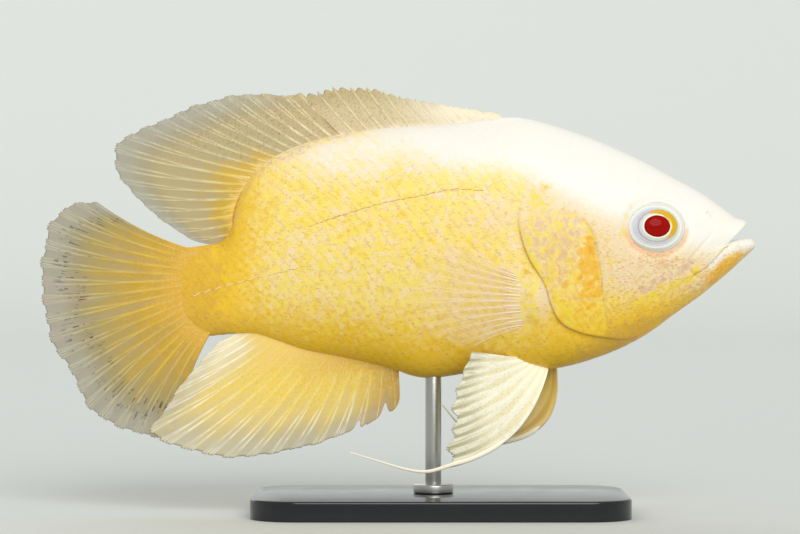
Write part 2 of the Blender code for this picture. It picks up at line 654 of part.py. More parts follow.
for name, side in (("pectoral_fin_right", -1), ("pectoral_fin_left", 1)):
    at = fan(PECTORAL_ROOT, PECTORAL_EDGE, lambda u: TAIL_BOW * (1 - 2 * u))
    spread = PECTORAL_SPREAD[side]
    middle = off_flank(at, side, lambda v: PECTORAL_STAND * ease(0, 0.2, v) - PECTORAL_SUNK
                       + spread * v ** 1.5)
    rooted(name, fin_sheet(name, ray_columns(0, PECTORAL_RAYS), np.linspace(0, 1, 5), middle,
                           root_swell(PECTORAL_SWELL), model, SOFT_SCALLOP))


def pelvic(which, shape):
    """A pelvic fin, with rays from the throat down and back, and its first ray's filament.

    The first ray stands out as a rod near the tip. The rod runs on free of the fin: that
    part is the filament, which meets the end of the rod with a gap.
    """
    side, root_y, tip_y = shape["side"], shape["root_y"], shape["tip_y"]
    at = fan(shape["root"], shape["edge"], lambda u: shape["bow"] * (1 - u) ** 1.5)

    def middle(u, v):
        x, z = at(u, v)
        wanted = root_y[0] + (root_y[1] - root_y[0]) * u + (tip_y - root_y[0]) * v ** 0.6
        clear = flank_y(x, z) + PELVIC_CLEAR if v > 0.3 else 0.0
        return x, side * max(wanted, clear), z

    name = f"pelvic_fin_{which}"
    sheet = fin_sheet(name, ray_columns(1, PELVIC_RAYS), np.linspace(0, 1, 7), middle,
                      root_swell(PELVIC_SWELL), model, PELVIC_SCALLOP)
    tip = middle(0, 1)
    rod = [middle(0, v) for v in (0.6, 0.7, 0.8, 0.9, 0.97)]
    rod += [(x, tip[1], z) for x, z in shape["filament"]]
    length = run_length(smooth_curve(rod, np.linspace(0, len(rod) - 1, 200)))
    past_tip = run_length([tip] + rod[-len(shape["filament"]):])
    parted_at = 1 - (past_tip - shape["free_after"]) / length

    def rod_part(start, end, points, collection):
        shares = np.linspace(start, end, points)
        thick = np.interp(shares, (0, 1), FILAMENT_RADII)
        return tube(f"pelvic_filament_{which}", along(rod, shares), thick, collection)

    combine(sheet, rod_part(0, parted_at, 6, helpers), "UNION")
    rooted(name, sheet)
    dress(rod_part(parted_at + GAP / length, 1, 10, model), fin_skin)


pelvic("right", RIGHT_PELVIC)
pelvic("left", LEFT_PELVIC)


# The stand: a base with rounded corners, a collar on it and a rod into the belly
def upright_cylinder(name, radius, low, high, collection):
    """A cylinder on the line of the rod, from one height to another."""
    bpy.ops.mesh.primitive_cylinder_add(vertices=24, radius=radius * MM, depth=(high - low) * MM,
                                        location=(ROD_X * MM, 0, (low + high) / 2 * MM))
    return placed(name, collection)


def placed(name, collection):
    """Names the primitive just added, applies its place and size, and moves it over."""
    obj = bpy.context.object
    obj.name = name
    bpy.ops.object.transform_apply(location=True, rotation=True, scale=True)
    for other in list(obj.users_collection):
        other.objects.unlink(obj)
    collection.objects.link(obj)
    return obj


bpy.ops.mesh.primitive_cube_add(size=1, location=(0, 0, BASE_HEIGHT * MM / 2))
bpy.context.object.scale = (BASE_LENGTH * MM, BASE_WIDTH * MM, BASE_HEIGHT * MM)
base = placed("stand_base", model)
bm = bmesh.new()
bm.from_mesh(base.data)
upright = [e for e in bm.edges if abs(e.verts[0].co.z - e.verts[1].co.z) > MM]
bmesh.ops.bevel(bm, geom=upright, offset=BASE_CORNER * MM, segments=8, affect="EDGES", profile=0.5)
bm.to_mesh(base.data)
bm.free()

hole_low = BASE_HEIGHT - ROD_SUNK
socket_high = float(body_low(ROD_X)) + SOCKET_DEPTH
rod = upright_cylinder("stand_rod", ROD_RADIUS, hole_low + GAP, socket_high - GAP, model)
hole = upright_cylinder("rod_hole", ROD_RADIUS + GAP, hole_low, 2 * BASE_HEIGHT, helpers)
socket = upright_cylinder("rod_socket", ROD_RADIUS + GAP, BASE_HEIGHT, socket_high, helpers)
combine(base, hole, "DIFFERENCE")
combine(trunk, socket, "DIFFERENCE")
keep_largest(trunk)
collar = upright_cylinder("stand_collar", COLLAR_RADIUS, BASE_HEIGHT + GAP,
                          BASE_HEIGHT + GAP + COLLAR_HEIGHT, model)
hole = upright_cylinder("collar_hole", ROD_RADIUS + GAP, 0, 4 * BASE_HEIGHT, helpers)
combine(collar, hole, "DIFFERENCE")
for obj, finish_of in ((base, acrylic), (rod, steel), (collar, steel), (trunk, skin), (peduncle, skin),
                       (lower_jaw, skin), (upper_jaw, skin), (head, skin)):
    dress(obj, finish_of)
for obj in list(helpers.objects):
    bpy.data.objects.remove(obj)

# The tail swings a little to the left, and takes the fins on it along
for obj in model.objects:
    for vertex in obj.data.vertices:
        behind = max(0.0, SWAY_START - vertex.co.x / MM)
        vertex.co.y += TAIL_SWAY * behind ** 2 * MM
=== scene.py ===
import math
from functools import partial

import bpy
import numpy as np
from mathutils import Euler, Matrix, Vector
from mathutils.bvhtree import BVHTree


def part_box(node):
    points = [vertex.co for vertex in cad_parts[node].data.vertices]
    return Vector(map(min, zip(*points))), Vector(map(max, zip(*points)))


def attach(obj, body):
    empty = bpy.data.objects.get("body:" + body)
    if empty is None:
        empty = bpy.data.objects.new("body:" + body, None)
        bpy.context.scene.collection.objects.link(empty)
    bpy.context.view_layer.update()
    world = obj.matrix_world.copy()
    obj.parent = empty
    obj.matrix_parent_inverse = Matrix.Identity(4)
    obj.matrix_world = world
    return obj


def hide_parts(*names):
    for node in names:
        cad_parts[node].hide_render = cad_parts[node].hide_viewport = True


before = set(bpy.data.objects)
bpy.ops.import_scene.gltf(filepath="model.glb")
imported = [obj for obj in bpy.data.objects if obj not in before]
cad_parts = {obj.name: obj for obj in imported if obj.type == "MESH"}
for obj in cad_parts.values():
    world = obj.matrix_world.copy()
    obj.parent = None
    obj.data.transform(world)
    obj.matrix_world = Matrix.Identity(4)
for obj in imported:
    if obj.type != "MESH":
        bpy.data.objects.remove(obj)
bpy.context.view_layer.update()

# Skin. The hide of a fish is one elastic sheet from the inside of the lips to the end of
# the tail base, drawn over the skull, the jaws and the flat bones of the gill cover. It is
# lofted here through the same sections as the solids, in millimetres, and then worked.
MM = 0.001
SECTIONS = np.array((
    # back x, z, flank x, z, belly x, z, half the width, squareness of upper and lower half
    (-74.4, 79.8, -75.0, 66.9, -74.4, 54.0, 2.6, 2.2, 2.2),
    (-70.2, 80.4, -70.5, 66.9, -70.2, 53.1, 4.0, 2.2, 2.2),
    (-65.4, 81.3, -66.3, 67.2, -66.0, 53.4, 5.4, 2.1, 2.1),
    (-62.7, 85.5, -63.0, 68.1, -62.7, 53.7, 6.4, 2.0, 2.0),
    (-61.2, 92.1, -59.7, 69.9, -59.1, 53.7, 7.4, 1.9, 2.0),
    (-58.2, 99.3, -55.2, 72.3, -54.6, 53.4, 8.6, 1.9, 2.0),
    (-53.4, 104.7, -49.5, 74.7, -49.2, 51.6, 10.0, 1.9, 1.9),
    (-43.2, 110.1, -41.1, 77.4, -40.5, 48.7, 12.0, 1.85, 1.9),
    (-28.5, 114.1, -28.5, 80.4, -28.5, 46.5, 14.2, 1.85, 1.9),
    (-13.5, 115.8, -15.0, 82.5, -16.2, 43.9, 15.8, 1.9, 1.95),
    (0.0, 116.5, -1.5, 84.3, -4.5, 40.6, 16.9, 1.9, 2.05),
    (13.5, 117.9, 12.0, 84.9, 12.0, 42.4, 17.4, 1.95, 2.15),
    (24.0, 118.5, 24.0, 83.4, 24.0, 42.7, 17.4, 2.0, 2.2),
    (36.0, 115.6, 36.0, 81.0, 36.0, 43.6, 17.2, 2.05, 2.2),
    (48.0, 111.3, 48.0, 80.1, 48.0, 47.0, 16.2, 2.1, 2.15),
    (60.0, 105.9, 60.0, 80.1, 60.0, 52.3, 14.6, 2.1, 2.1),
    (69.6, 100.8, 69.6, 80.1, 69.6, 59.2, 12.6, 2.1, 2.1),
    (78.0, 96.2, 76.5, 80.1, 78.0, 65.2, 10.6, 2.1, 2.1),
    (84.6, 91.6, 81.0, 80.1, 84.6, 70.6, 9.2, 2.1, 2.1),
    (88.2, 88.9, 83.7, 80.1, 89.0, 74.5, 8.2, 2.1, 2.1),
    (90.5, 87.8, 84.8, 80.3, 92.3, 77.9, 7.5, 2.1, 2.1),
    (91.4, 86.8, 85.0, 80.6, 94.0, 80.7, 7.0, 2.1, 2.1),
    (90.7, 85.9, 84.6, 80.9, 92.8, 82.5, 6.2, 2.1, 2.1),
    (88.4, 84.5, 83.6, 80.8, 90.0, 81.8, 5.0, 2.1, 2.1),
    (84.6, 82.5, 82.2, 80.4, 84.6, 78.9, 3.6, 2.0, 2.0),
    (81.6, 81.3, 80.4, 80.1, 81.6, 78.9, 2.0, 2.0, 2.0)))
RING_STOPS = ((0.0, 9.0, 84), (9.0, 11.6, 40), (11.6, 18.0, 142), (18.0, 21.0, 28), (21.0, 25.0, 14))
SKIN_TURNS = 300
TAIL_END = 9.0            # how far the flesh tapers off behind the last section
TAIL_ROOT_Z = 66.9        # the height that it tapers to
LIP_RING, LIP_SWELL, LIP_REACH = 20.7, 0.55, 0.8
COVER_BULGE = 0.65
EYE_CENTRE = (63.9, 85.4)
EYE_RADII = (9.1, 5.0, 7.9)
EYE_RIM = 0.92            # share of the ball at which the skin ends
NOSTRIL = (79.8, 89.6)
TAIL_SWAY, SWAY_START = 0.0009, -30.0
GILL_EDGE = ((30.7, 123.1), (27.8, 107.4), (23.9, 93.6), (23.0, 85.8), (25.7, 76.7),
             (30.6, 68.7), (32.4, 62.8), (35.5, 57.3), (41.6, 54.2), (48.9, 52.8),
             (55.2, 52.2), (60.1, 53.8), (64.2, 56.5), (68.5, 52.4))
COVER_FRONT = ((23.7, 87.2), (27.3, 89.3), (33.2, 90.1), (39.1, 89.5), (43.0, 86.8),
               (45.3, 81.9), (47.1, 73.8), (48.1, 64.2), (49.1, 57.7), (48.5, 53.4))
MOUTH_LINE = ((96.5, 84.0), (86.2, 80.6), (82.0, 76.4), (78.2, 73.0), (75.2, 71.0),
              (72.4, 66.6), (71.6, 60.0))
UPPER_JAW_FOLD = ((76.7, 70.6), (74.1, 72.6), (74.5, 76.4), (78.5, 81.1), (82.4, 85.9))
SCALE_FRONT = ((21.5, 84.0), (23.4, 91.0), (28.5, 96.5), (35.0, 100.5), (39.0, 106.0), (40.0, 118.0))
SCALE_BED = 0.12          # how deep the skin lies under the scales
JAW_PORES = ((66.6, 61.6), (71.4, 64.8), (76.5, 68.2), (58.8, 57.4), (81.2, 71.5), (52.9, 60.5))


def smooth_curve(points, at):
    """Catmull-Rom curve through the points, read at the parameters at, from 0 to len - 1."""
    points = np.asarray(points, float)
    at = np.clip(np.asarray(at, float), 0, len(points) - 1)
    i = np.minimum(at.astype(int), len(points) - 2)
    t = (at - i)[:, None]
    before, after = points[np.maximum(i - 1, 0)], points[np.minimum(i + 2, len(points) - 1)]
    a, b = points[i], points[i + 1]
    return 0.5 * (2 * a + (b - before) * t + (2 * before - 5 * a + 4 * b - after) * t**2
                  + (3 * a - before - 3 * b + after) * t**3)


def ease(low, high, value):
    """Rises smoothly from 0 at low to 1 at high."""
    t = np.clip((value - low) / (high - low), 0, 1)
    return t * t * (3 - 2 * t)


def hump(distance, width):
    return np.exp(-(distance / width) ** 2)


def ring_places(rows, turns):
    """Points of the sections in rows at the angles turns: 0 on the left flank."""
    c, s = np.cos(turns), np.sin(turns)
    power = 2 / np.where(s >= 0, rows[:, 7:8], rows[:, 8:9])
    lift = np.abs(s) ** power
    x = rows[:, 2:3] + (np.where(s >= 0, rows[:, 0:1], rows[:, 4:5]) - rows[:, 2:3]) * lift
    z = rows[:, 3:4] + (np.where(s >= 0, rows[:, 1:2], rows[:, 5:6]) - rows[:, 3:4]) * lift
    return np.stack([x, rows[:, 6:7] * np.sign(c) * np.abs(c) ** power, z], axis=-1)


def outward(places):
    """Unit vectors that point out of a ringed surface whose last column is its first."""
    ring = places[:, :-1]
    around = np.roll(ring, -1, axis=1) - np.roll(ring, 1, axis=1)
    around = np.concatenate([around, around[:, :1]], axis=1)
    away = np.cross(around, np.gradient(places, axis=0))
    return away / (np.linalg.norm(away, axis=2)[..., None] + 1e-9)


def from_line(points, x, z, fine=6):
    """For places of the side view: the signed distance from the line, positive on its left,
    the nearest place on it, and how far along it that is, from 0 to 1."""
    count = (len(points) - 1) * fine + 1
    line = smooth_curve(points, np.linspace(0, len(points) - 1, count))
    best, found = np.full(x.shape, 1e9), [np.zeros(x.shape)] * 4
    for k, (a, b) in enumerate(zip(line[:-1], line[1:])):
        run = b - a
        t = np.clip(((x - a[0]) * run[0] + (z - a[1]) * run[1]) / (run @ run), 0, 1)
        near_x, near_z = a[0] + run[0] * t, a[1] + run[1] * t
        gap = np.hypot(x - near_x, z - near_z)
        side = np.sign(run[0] * (z - a[1]) - run[1] * (x - a[0]))
        here = (gap * side, near_x, near_z, (k + t) / (count - 1))
        found = [np.where(gap < best, new, old) for new, old in zip(here, found)]
        best = np.minimum(gap, best)
    return found


def eye_share(x, z):
    """0 at the middle of the eye and 1 at the rim of its ball, in side view."""
    return np.hypot((x - EYE_CENTRE[0]) / EYE_RADII[0], (z - EYE_CENTRE[1]) / EYE_RADII[2])


def scale_room(x, z):
    """How far inside the scaly part of the trunk and nape a place of the side view lies."""
    behind = -from_line(GILL_EDGE, x, z, 3)[0]
    return np.where(z > 90, np.maximum(behind, from_line(SCALE_FRONT, x, z, 3)[0]), behind)


def draw_in(places, near_x, near_z, width):
    """Slides the places along the skin to the nearest ones of a crease, for crisp edges."""
    gap = np.hypot(places[..., 0] - near_x, places[..., 2] - near_z)
    pull = np.where(gap < width, 1 - (np.maximum(gap, 1e-6) / width) ** 0.8, 0)
    pull = pull * (np.abs(out[..., 1]) > 0.25)
    move = np.stack([(near_x - places[..., 0]) * pull, 0 * pull, (near_z - places[..., 2]) * pull], -1)
    return places + move - out * (move * out).sum(-1)[..., None]


def worked(places):
    """Presses the folds, creases and hollows of the fish into the places of a grid."""
    places = places.copy()
    x, z = places[..., 0].copy(), places[..., 2].copy()

    # The gill cover stands out along its free edge, and fades forward and up to the nape
    gap = from_line(GILL_EDGE, x, z)[0]
    ahead, behind_cover = ease(-0.16, 0.16, gap), gap < 0
    free_edge = np.interp(z, [50, 56, 66, 77, 86, 95], [54, 38, 31, 26, 23, 24])
    cover = (1 - ease(0.0, 24.0, x - free_edge)) * ease(94.0, 83.0, z)
    places[..., 1] += COVER_BULGE * cover * ahead * np.clip(places[..., 1], -1, 1)
    rise = cover * (ahead * 0.12 * hump(gap - 0.7, 0.6) - 0.08 * (1 - ahead) * hump(gap, 1.1))

    # The edge of the cheek, and the groove above and below it
    gap, _, _, share = from_line(COVER_FRONT, x, z)
    cheek_edge = ease(0.36, 0.5, share) * ease(1.0, 0.93, share)
    rise += cheek_edge * (np.where(gap > 0, 0.32 * np.exp(-np.abs(gap) / 4), 0) - 0.16 * hump(gap, 0.35))
    rise -= 0.12 * hump(gap, 0.6) * ease(0.5, 0.3, share) * ~behind_cover

    # The lips part at the mouth's line, and the upper jaw folds over the cheek
    gap, _, _, share = from_line(MOUTH_LINE, x, z)
    lip_part = ease(0.13, 0.2, share) * ease(0.74, 0.62, share) * (stops < 20.5)[:, None]
    rise += lip_part * np.where(gap > 0, -0.3 * np.exp(-np.abs(gap) / 1.6), 0.4 * np.exp(-np.abs(gap) / 1.4))
    rise -= lip_part * 0.55 * hump(gap, 0.28)
    gap, _, _, share = from_line(UPPER_JAW_FOLD, x, z)
    rise -= 0.34 * hump(gap, 0.45) * ease(1.0, 0.6, share)

    # Nostril, pores of the lower jaw, socket of the eye, lobe of the chest fin, bed of the scales
    away = np.hypot(x - NOSTRIL[0], z - NOSTRIL[1])
    rise += 0.2 * hump(away - 1.0, 0.35) - 1.1 * ease(0.8, 0.35, away)
    for pore_x, pore_z in JAW_PORES:
        rise -= 0.35 * hump(np.hypot(x - pore_x, z - pore_z), 0.38)
    share = eye_share(x, z)
    rise -= 0.75 * ease(1.3, EYE_RIM + 0.03, share) + 3.6 * ease(EYE_RIM, EYE_RIM - 0.09, share)
    rise += 0.22 * hump(share - EYE_RIM - 0.07, 0.05)
    rise += 1.1 * hump(np.hypot((x - 27.6) / 3.6, (z - 63.6) / 6.4), 1.0) * behind_cover
    rise -= SCALE_BED * ease(0.3, 1.3, scale_room(x, z))
    return places + out * rise[..., None]


def closed(places):
    """Tapers the flesh off behind the last section, in the root of the tail, and shuts the throat."""
    bend = np.linspace(1.0, 0.08, 12)[:, None, None]
    end = places[0][None].repeat(12, axis=0)
    end[..., 0:1] -= TAIL_END * bend
    end[..., 1:2] *= 1 - bend
    end[..., 2:3] = TAIL_ROOT_Z + (end[..., 2:3] - TAIL_ROOT_Z) * (1 - 0.05 * bend)
    throat = places[-1][None].mean(axis=1, keepdims=True).repeat(SKIN_TURNS + 1, axis=1)
    return np.concatenate([end, places, throat])


def swayed(places):
    """The tail swings a little to the left behind SWAY_START."""
    bent = np.array(places, float)
    bent[..., 1] += TAIL_SWAY * np.maximum(0, SWAY_START - bent[..., 0]) ** 2
    return bent


def sheet_of(name, places):
    """A primitive grid whose points are set on these places, row after row."""
    rows, columns = places.shape[:2]
    bpy.ops.object.select_all(action="DESELECT")
    bpy.ops.mesh.primitive_grid_add(x_subdivisions=columns - 1, y_subdivisions=rows - 1, size=1)
    piece = bpy.context.object
    piece.name = piece.data.name = name
    piece.data.vertices.foreach_set("co", (swayed(places) * MM).reshape(-1))
    piece.data.update()
    for layer in list(piece.data.uv_layers):
        piece.data.uv_layers.remove(layer)
    return piece


def tag(piece, name, values):
    """Stores numbers on the points of a piece for its material: one each, or a triple."""
    kind, key = ("FLOAT", "value") if np.ndim(values) == 1 else ("FLOAT_VECTOR", "vector")
    layer = piece.data.attributes.new(name, kind, "POINT")
    layer.data.foreach_set(key, np.asarray(values, float).reshape(-1))


def bake_map(piece, u, v):
    """Gives a piece the UV map that the colours are baked on."""
    corners = np.empty(len(piece.data.loops), int)
    piece.data.loops.foreach_get("vertex_index", corners)
    layer = piece.data.uv_layers.new(name="OFBake")
    layer.data.foreach_set("uv", np.stack([u[corners], v[corners]], -1).astype(np.float32).reshape(-1))


def merge_points(piece, distance=1e-7):
    """Closes seams and poles, turns the faces outward and smooths them."""
    bpy.ops.object.select_all(action="DESELECT")
    piece.select_set(True)
    bpy.context.view_layer.objects.active = piece
    bpy.ops.object.mode_set(mode="EDIT")
    bpy.ops.mesh.select_all(action="SELECT")
    bpy.ops.mesh.remove_doubles(threshold=distance)
    bpy.ops.mesh.normals_make_consistent(inside=False)
    bpy.ops.object.mode_set(mode="OBJECT")
    bpy.ops.object.shade_smooth()


turns = np.linspace(-math.pi / 2, 1.5 * math.pi, SKIN_TURNS + 1)
turns -= 0.12 * np.sin(2 * turns)
stops = np.concatenate([np.linspace(a, b, n, endpoint=False) for a, b, n in RING_STOPS] + [[25.0]])
bare = ring_places(smooth_curve(SECTIONS, stops), turns)
out = outward(bare)
bare += out * (LIP_SWELL * hump(stops - LIP_RING, LIP_REACH))[:, None, None] * (
    0.25 + 0.75 * np.abs(np.sin(turns)))[:, None]
bare_faces = [(r + a, r + b, r + SKIN_TURNS + b, r + SKIN_TURNS + a)
              for r in range(0, SKIN_TURNS * (len(stops) - 1), SKIN_TURNS)
              for a, b in zip(range(SKIN_TURNS), (*range(1, SKIN_TURNS), 0))]
flank_tree = BVHTree.FromPolygons([tuple(p) for p in bare[:, :-1].reshape(-1, 3)], bare_faces)


@np.vectorize
def half_width(x, z):
    """Half the width of the body at this place of the side view, or 0 off the body."""
    hit = flank_tree.ray_cast(Vector((float(x), -60.0, float(z))), Vector((0, 1, 0)))[0]
    return -hit.y if hit else 0.0


# The creases: the free edge of the gill cover, the edge of the cheek, the mouth, the upper jaw
# and the rim of the socket
hide = bare.copy()
for points, width in ((GILL_EDGE, 1.3), (COVER_FRONT, 0.9), (MOUTH_LINE, 0.9), (UPPER_JAW_FOLD, 0.8)):
    _, near_x, near_z, _ = from_line(points, hide[..., 0], hide[..., 2])
    hide = draw_in(hide, near_x, near_z, width)
share = eye_share(hide[..., 0], hide[..., 2])
near_x, near_z = (mid + (hide[..., k] - mid) * EYE_RIM / share for mid, k in zip(EYE_CENTRE, (0, 2)))
hide = draw_in(hide, near_x, near_z, 1.2)
hide, ground = closed(worked(hide)), closed(worked(bare))
hide_rows, hide_columns = hide.shape[:2]
skin = sheet_of("skin", hide)


# Its markings. An albino of the yellow breed has no black in its skin, only yellow and
# orange pigment over white and rosy flesh: near white on the head and back, lemon on the
# flanks, deep gold below. The same function marks the skin and the scales on it.
# Some of these marks are painted light rather than pigment: shade at the throat, below the eye and along the
# creases, and a highlight along the rim of the gill cover.
WHITE_DOWN_TO = ((-90, 124), (-58, 108), (-45, 104.5), (-30, 100.5), (-20, 102), (-12, 106), (3, 104.5),
                 (18, 105), (30, 101), (45, 93), (60, 86.5), (70, 83), (80, 80), (86, 79), (96, 77))
GOLD_UP_TO = ((-80, 76), (-70, 68), (-60, 65), (-40, 63), (-20, 61), (0, 58), (20, 57), (34, 62),
              (50, 64), (60, 66), (72, 68), (84, 70), (92, 71))
LIP_BAND = ((92.4, 80.4), (87.5, 79.4), (83.2, 76.8), (80.4, 74.4))


def markings(x, z):
    """How much of each colour the skin has here, as three triples, to be broken up by noise."""
    def most(*shares):
        return np.max(shares, axis=0)

    def spot(at, radii, turn=0.0):
        """A soft oval patch: 1 at its middle and 0.37 where it ends."""
        c, s = math.cos(math.radians(turn)), math.sin(math.radians(turn))
        dx, dz = x - at[0], z - at[1]
        return np.exp(-((dx * c + dz * s) / radii[0]) ** 2 - ((dz * c - dx * s) / radii[1]) ** 2)

    def streak(points, width):
        """A soft band along a line."""
        return hump(from_line(points, x, z, 3)[0], width)

    gill_gap = from_line(GILL_EDGE, x, z, 3)[0]
    front_gap = from_line(COVER_FRONT, x, z, 3)[0]
    ahead = ease(-0.8, 0.8, gill_gap)
    cheek = ease(-0.3, 1.2, front_gap) * ahead
    on_cover = ahead * ease(1.2, -0.3, front_gap)
    eye_gap = eye_share(x, z) - EYE_RIM
    lip = streak(LIP_BAND, 1.05) * (x > 78.5)

    # The upper part is white and the lower part gold, each with a soft edge
    white = ease(-11, 9, z - np.interp(x, *np.transpose(WHITE_DOWN_TO))) * (1 - 0.48 * ease(16, -26, x))
    gold_and_shade = ease(11, -16, z - np.interp(x, *np.transpose(GOLD_UP_TO)))
    gold_and_shade = most(gold_and_shade, 0.7 * ease(-40, -66, x)) * (1 - 0.8 * ease(79, 86, x) * ease(68, 74, z))
    # The oval at (57, 53) is painted shade: it deepens the gold of the throat, where the head turns down away
    # from the light.
    gold_and_shade = gold_and_shade + 0.45 * spot((38, 76), (10, 13)) * ahead + 0.7 * spot((57, 53), (18, 6), 25)
    gold_and_shade = gold_and_shade + 0.7 * ease(-48, -76, x)

    # Orange: the patch behind the edge of the cheek, the gill cover and the lower jaw
    behind = -front_gap + 0.6 * np.sin(1.5 * z) + 0.4 * np.sin(3.7 * z + 1)
    reach_back = np.interp(z, [63, 66, 73, 79, 82, 84], [6.4, 7.2, 6.6, 5.4, 2.6, 0.5])
    patch = ease(0.0, 0.7, -front_gap) * ease(1.5, -1.5, behind - reach_back) * (
        ease(84, 82.6, z) * ease(63.9, 65.1, z)) * ahead
    orange = most(
        0.98 * patch, 0.34 * on_cover * ease(82, 72, z), 0.8 * spot((43.4, 61.8), (4.8, 2.0), 6),
        0.55 * spot((37.6, 69.4), (3.0, 4.4), -30), 0.55 * spot((31.2, 97.0), (2.8, 1.3), 30),
        0.6 * spot((25.2, 72.4), (3.6, 1.6), -42), 1.1 * spot((84.6, 73.2), (11.0, 3.2), 44),
        0.95 * streak(((94.0, 78.4), (88, 72.6), (80, 66.0), (72, 60.0), (60, 53)), 2.0)) * (1 - lip)
    lilac = most(
        0.8 * streak(((74.0, 74.6), (67.0, 70.8), (60.2, 66.6)), 1.6),
        0.7 * streak(((38, 64.6), (44, 64.2), (48, 64.0)), 0.8),
        0.6 * streak(((-24, 115), (-38, 111), (-52, 103.5), (-60, 96), (-62, 88)), 2.2),
        0.85 * spot((36.0, 79.0), (5.6, 7.2)) * ahead, 0.6 * spot((37.0, 87.0), (8.0, 2.8)) * ahead,
        0.66 * on_cover * ease(62, 70, z), 0.6 * spot((77.0, 68.6), (5.0, 2.4), 40),
        0.5 * spot((57, 62.4), (9, 2.2), 20), 0.5 * spot((24.4, 62.0), (2.6, 7.0)) * (1 - ahead))
    lemon = most(
        0.8 * streak(((75.8, 71.2), (70.0, 68.8), (64.0, 65.8), (57.0, 61.6)), 2.2),
        0.7 * streak(((26.6, 87.5), (25.6, 80), (29.4, 72.0), (35.0, 63.2), (41.0, 57.5)), 1.5),
        0.45 * streak(((48.6, 81.0), (50.0, 74.0), (51.0, 66.0), (52.0, 58.0)), 2.4),
        0.8 * hump(eye_gap - 0.18, 0.1) * ease(58.5, 54.5, x) * ease(78, 82, z), 0.5 * on_cover,
        1.1 * spot((75.2, 72.4), (1.8, 1.4), 30), 0.85 * spot((28.6, 93.6), (5.0, 4.6), 30),
        0.4 * spot((-54.0, 92.0), (9.0, 7.0)))
    # Below the eye, round the rim of the socket: painted shade. On the lower jaw: a rosy patch.
    blush_and_eye_shade = most(hump(eye_gap - 0.07, 0.12) * ease(EYE_CENTRE[1] + 4, EYE_CENTRE[1] - 4, z),
                 0.6 * spot((83.6, 74.4), (8.0, 2.4), 44))
    cream_and_edge_highlight = most(
        cheek * ease(60, 71, z) * ease(86, 78, x), 0.55 * ahead * ease(60, 70, z) * ease(86, 80, x),
        # Along the free rim of the gill cover, just on the cover: a painted highlight.
        0.9 * hump(gill_gap - 1.0, 0.6) * ease(76, 73, z) * ease(58, 62, z),
        0.6 * spot((17.0, 90.0), (9.0, 9.0)), spot((30.6, 64.4), (2.6, 7.4)) * (gill_gap < 0.5))
    stipple = most(0.9 * spot((65.5, 75.6), (8.5, 3.6), -6), 0.5 * cheek * ease(84, 74, z))
    # A darker orange-brown along the free edge of the gill cover, the edge of the cheek and the fold of the
    # upper jaw: painted shade in these creases.
    crease_shade = most(0.8 * hump(gill_gap, 0.28) * ease(87, 83, z) * ease(66, 58, x),
                0.7 * hump(front_gap + 0.2, 0.3) * ease(84, 81, z) * ease(62, 64, z) * ahead,
                0.5 * streak(((77.4, 79.2), (74.9, 76.2), (74.2, 73.2)), 0.35))
    white = most(white * (1 - 0.6 * most(lilac, blush_and_eye_shade)), lip)
    return [np.stack(three, -1) for three in (
        (white, gold_and_shade, orange), (lilac, lemon, blush_and_eye_shade), (cream_and_edge_highlight, stipple, crease_shade))]


def linear(code):
    """An sRGB hex colour as a linear one."""
    parts = [int(code[i:i + 2], 16) / 255 for i in (1, 3, 5)]
    return (*[c / 12.92 if c <= 0.04045 else ((c + 0.055) / 1.055) ** 2.4 for c in parts], 1.0)


def feed(node, inputs):
    """Sets inputs of a node, each to a value or to the output that it comes from."""
    for key, value in inputs.items():
        if isinstance(value, bpy.types.NodeSocket):
            node.id_data.links.new(value, node.inputs[key])
        else:
            node.inputs[key].default_value = value


def add_node(tree, kind, *values, **settings):
    """Adds a node, such as "Math ADD", with its settings, and gives its main output. The values
    go to its inputs in their order."""
    kind, _, way = kind.partition(" ")
    made = tree.nodes.new("ShaderNode" + kind)
    if way:
        setattr(made, {"Math": "operation", "Mix": "data_type", "MapRange": "interpolation_type"}[kind], way)
    for key, value in settings.items():
        setattr(made, key, value)
    feed(made, dict(zip([k for k, socket in enumerate(made.inputs) if socket.enabled], values)))
    return next(socket for socket in made.outputs if socket.enabled)


def new_finish(name):
    """A material with its shader, what adds nodes to it, and the place on the piece."""
    made = bpy.data.materials.new(name)
    made.use_nodes = True
    add = partial(add_node, made.node_tree)
    where = add("TexCoord").node.outputs["Object"]
    return made, made.node_tree.nodes["Principled BSDF"], add, where


def stirred(add, value, by, depth):
    """The value, moved up and down by a noise."""
    return add("Math MULTIPLY_ADD", add("Math SUBTRACT", by, 0.5), depth, value)


def faded(add, share, *steps):
    """The share, less where a value of the steps hasn't come from its first number to its second."""
    for value, low, high in steps:
        share = add("MapRange SMOOTHSTEP", value, low, high, 0.0, share)
    return share


def paint(piece, x, z):
    for key, shares in zip(("marks_a", "marks_b", "marks_c"), markings(x, z)):
        tag(piece, key, shares)


def dress(piece, finish, slot, *nodes):
    """Gives a finished piece its material, its place on the body and the solids it stands for."""
    piece.data.materials.clear()
    piece.data.materials.append(finish)
    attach(piece, "root")
    if nodes:
        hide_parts(*nodes)


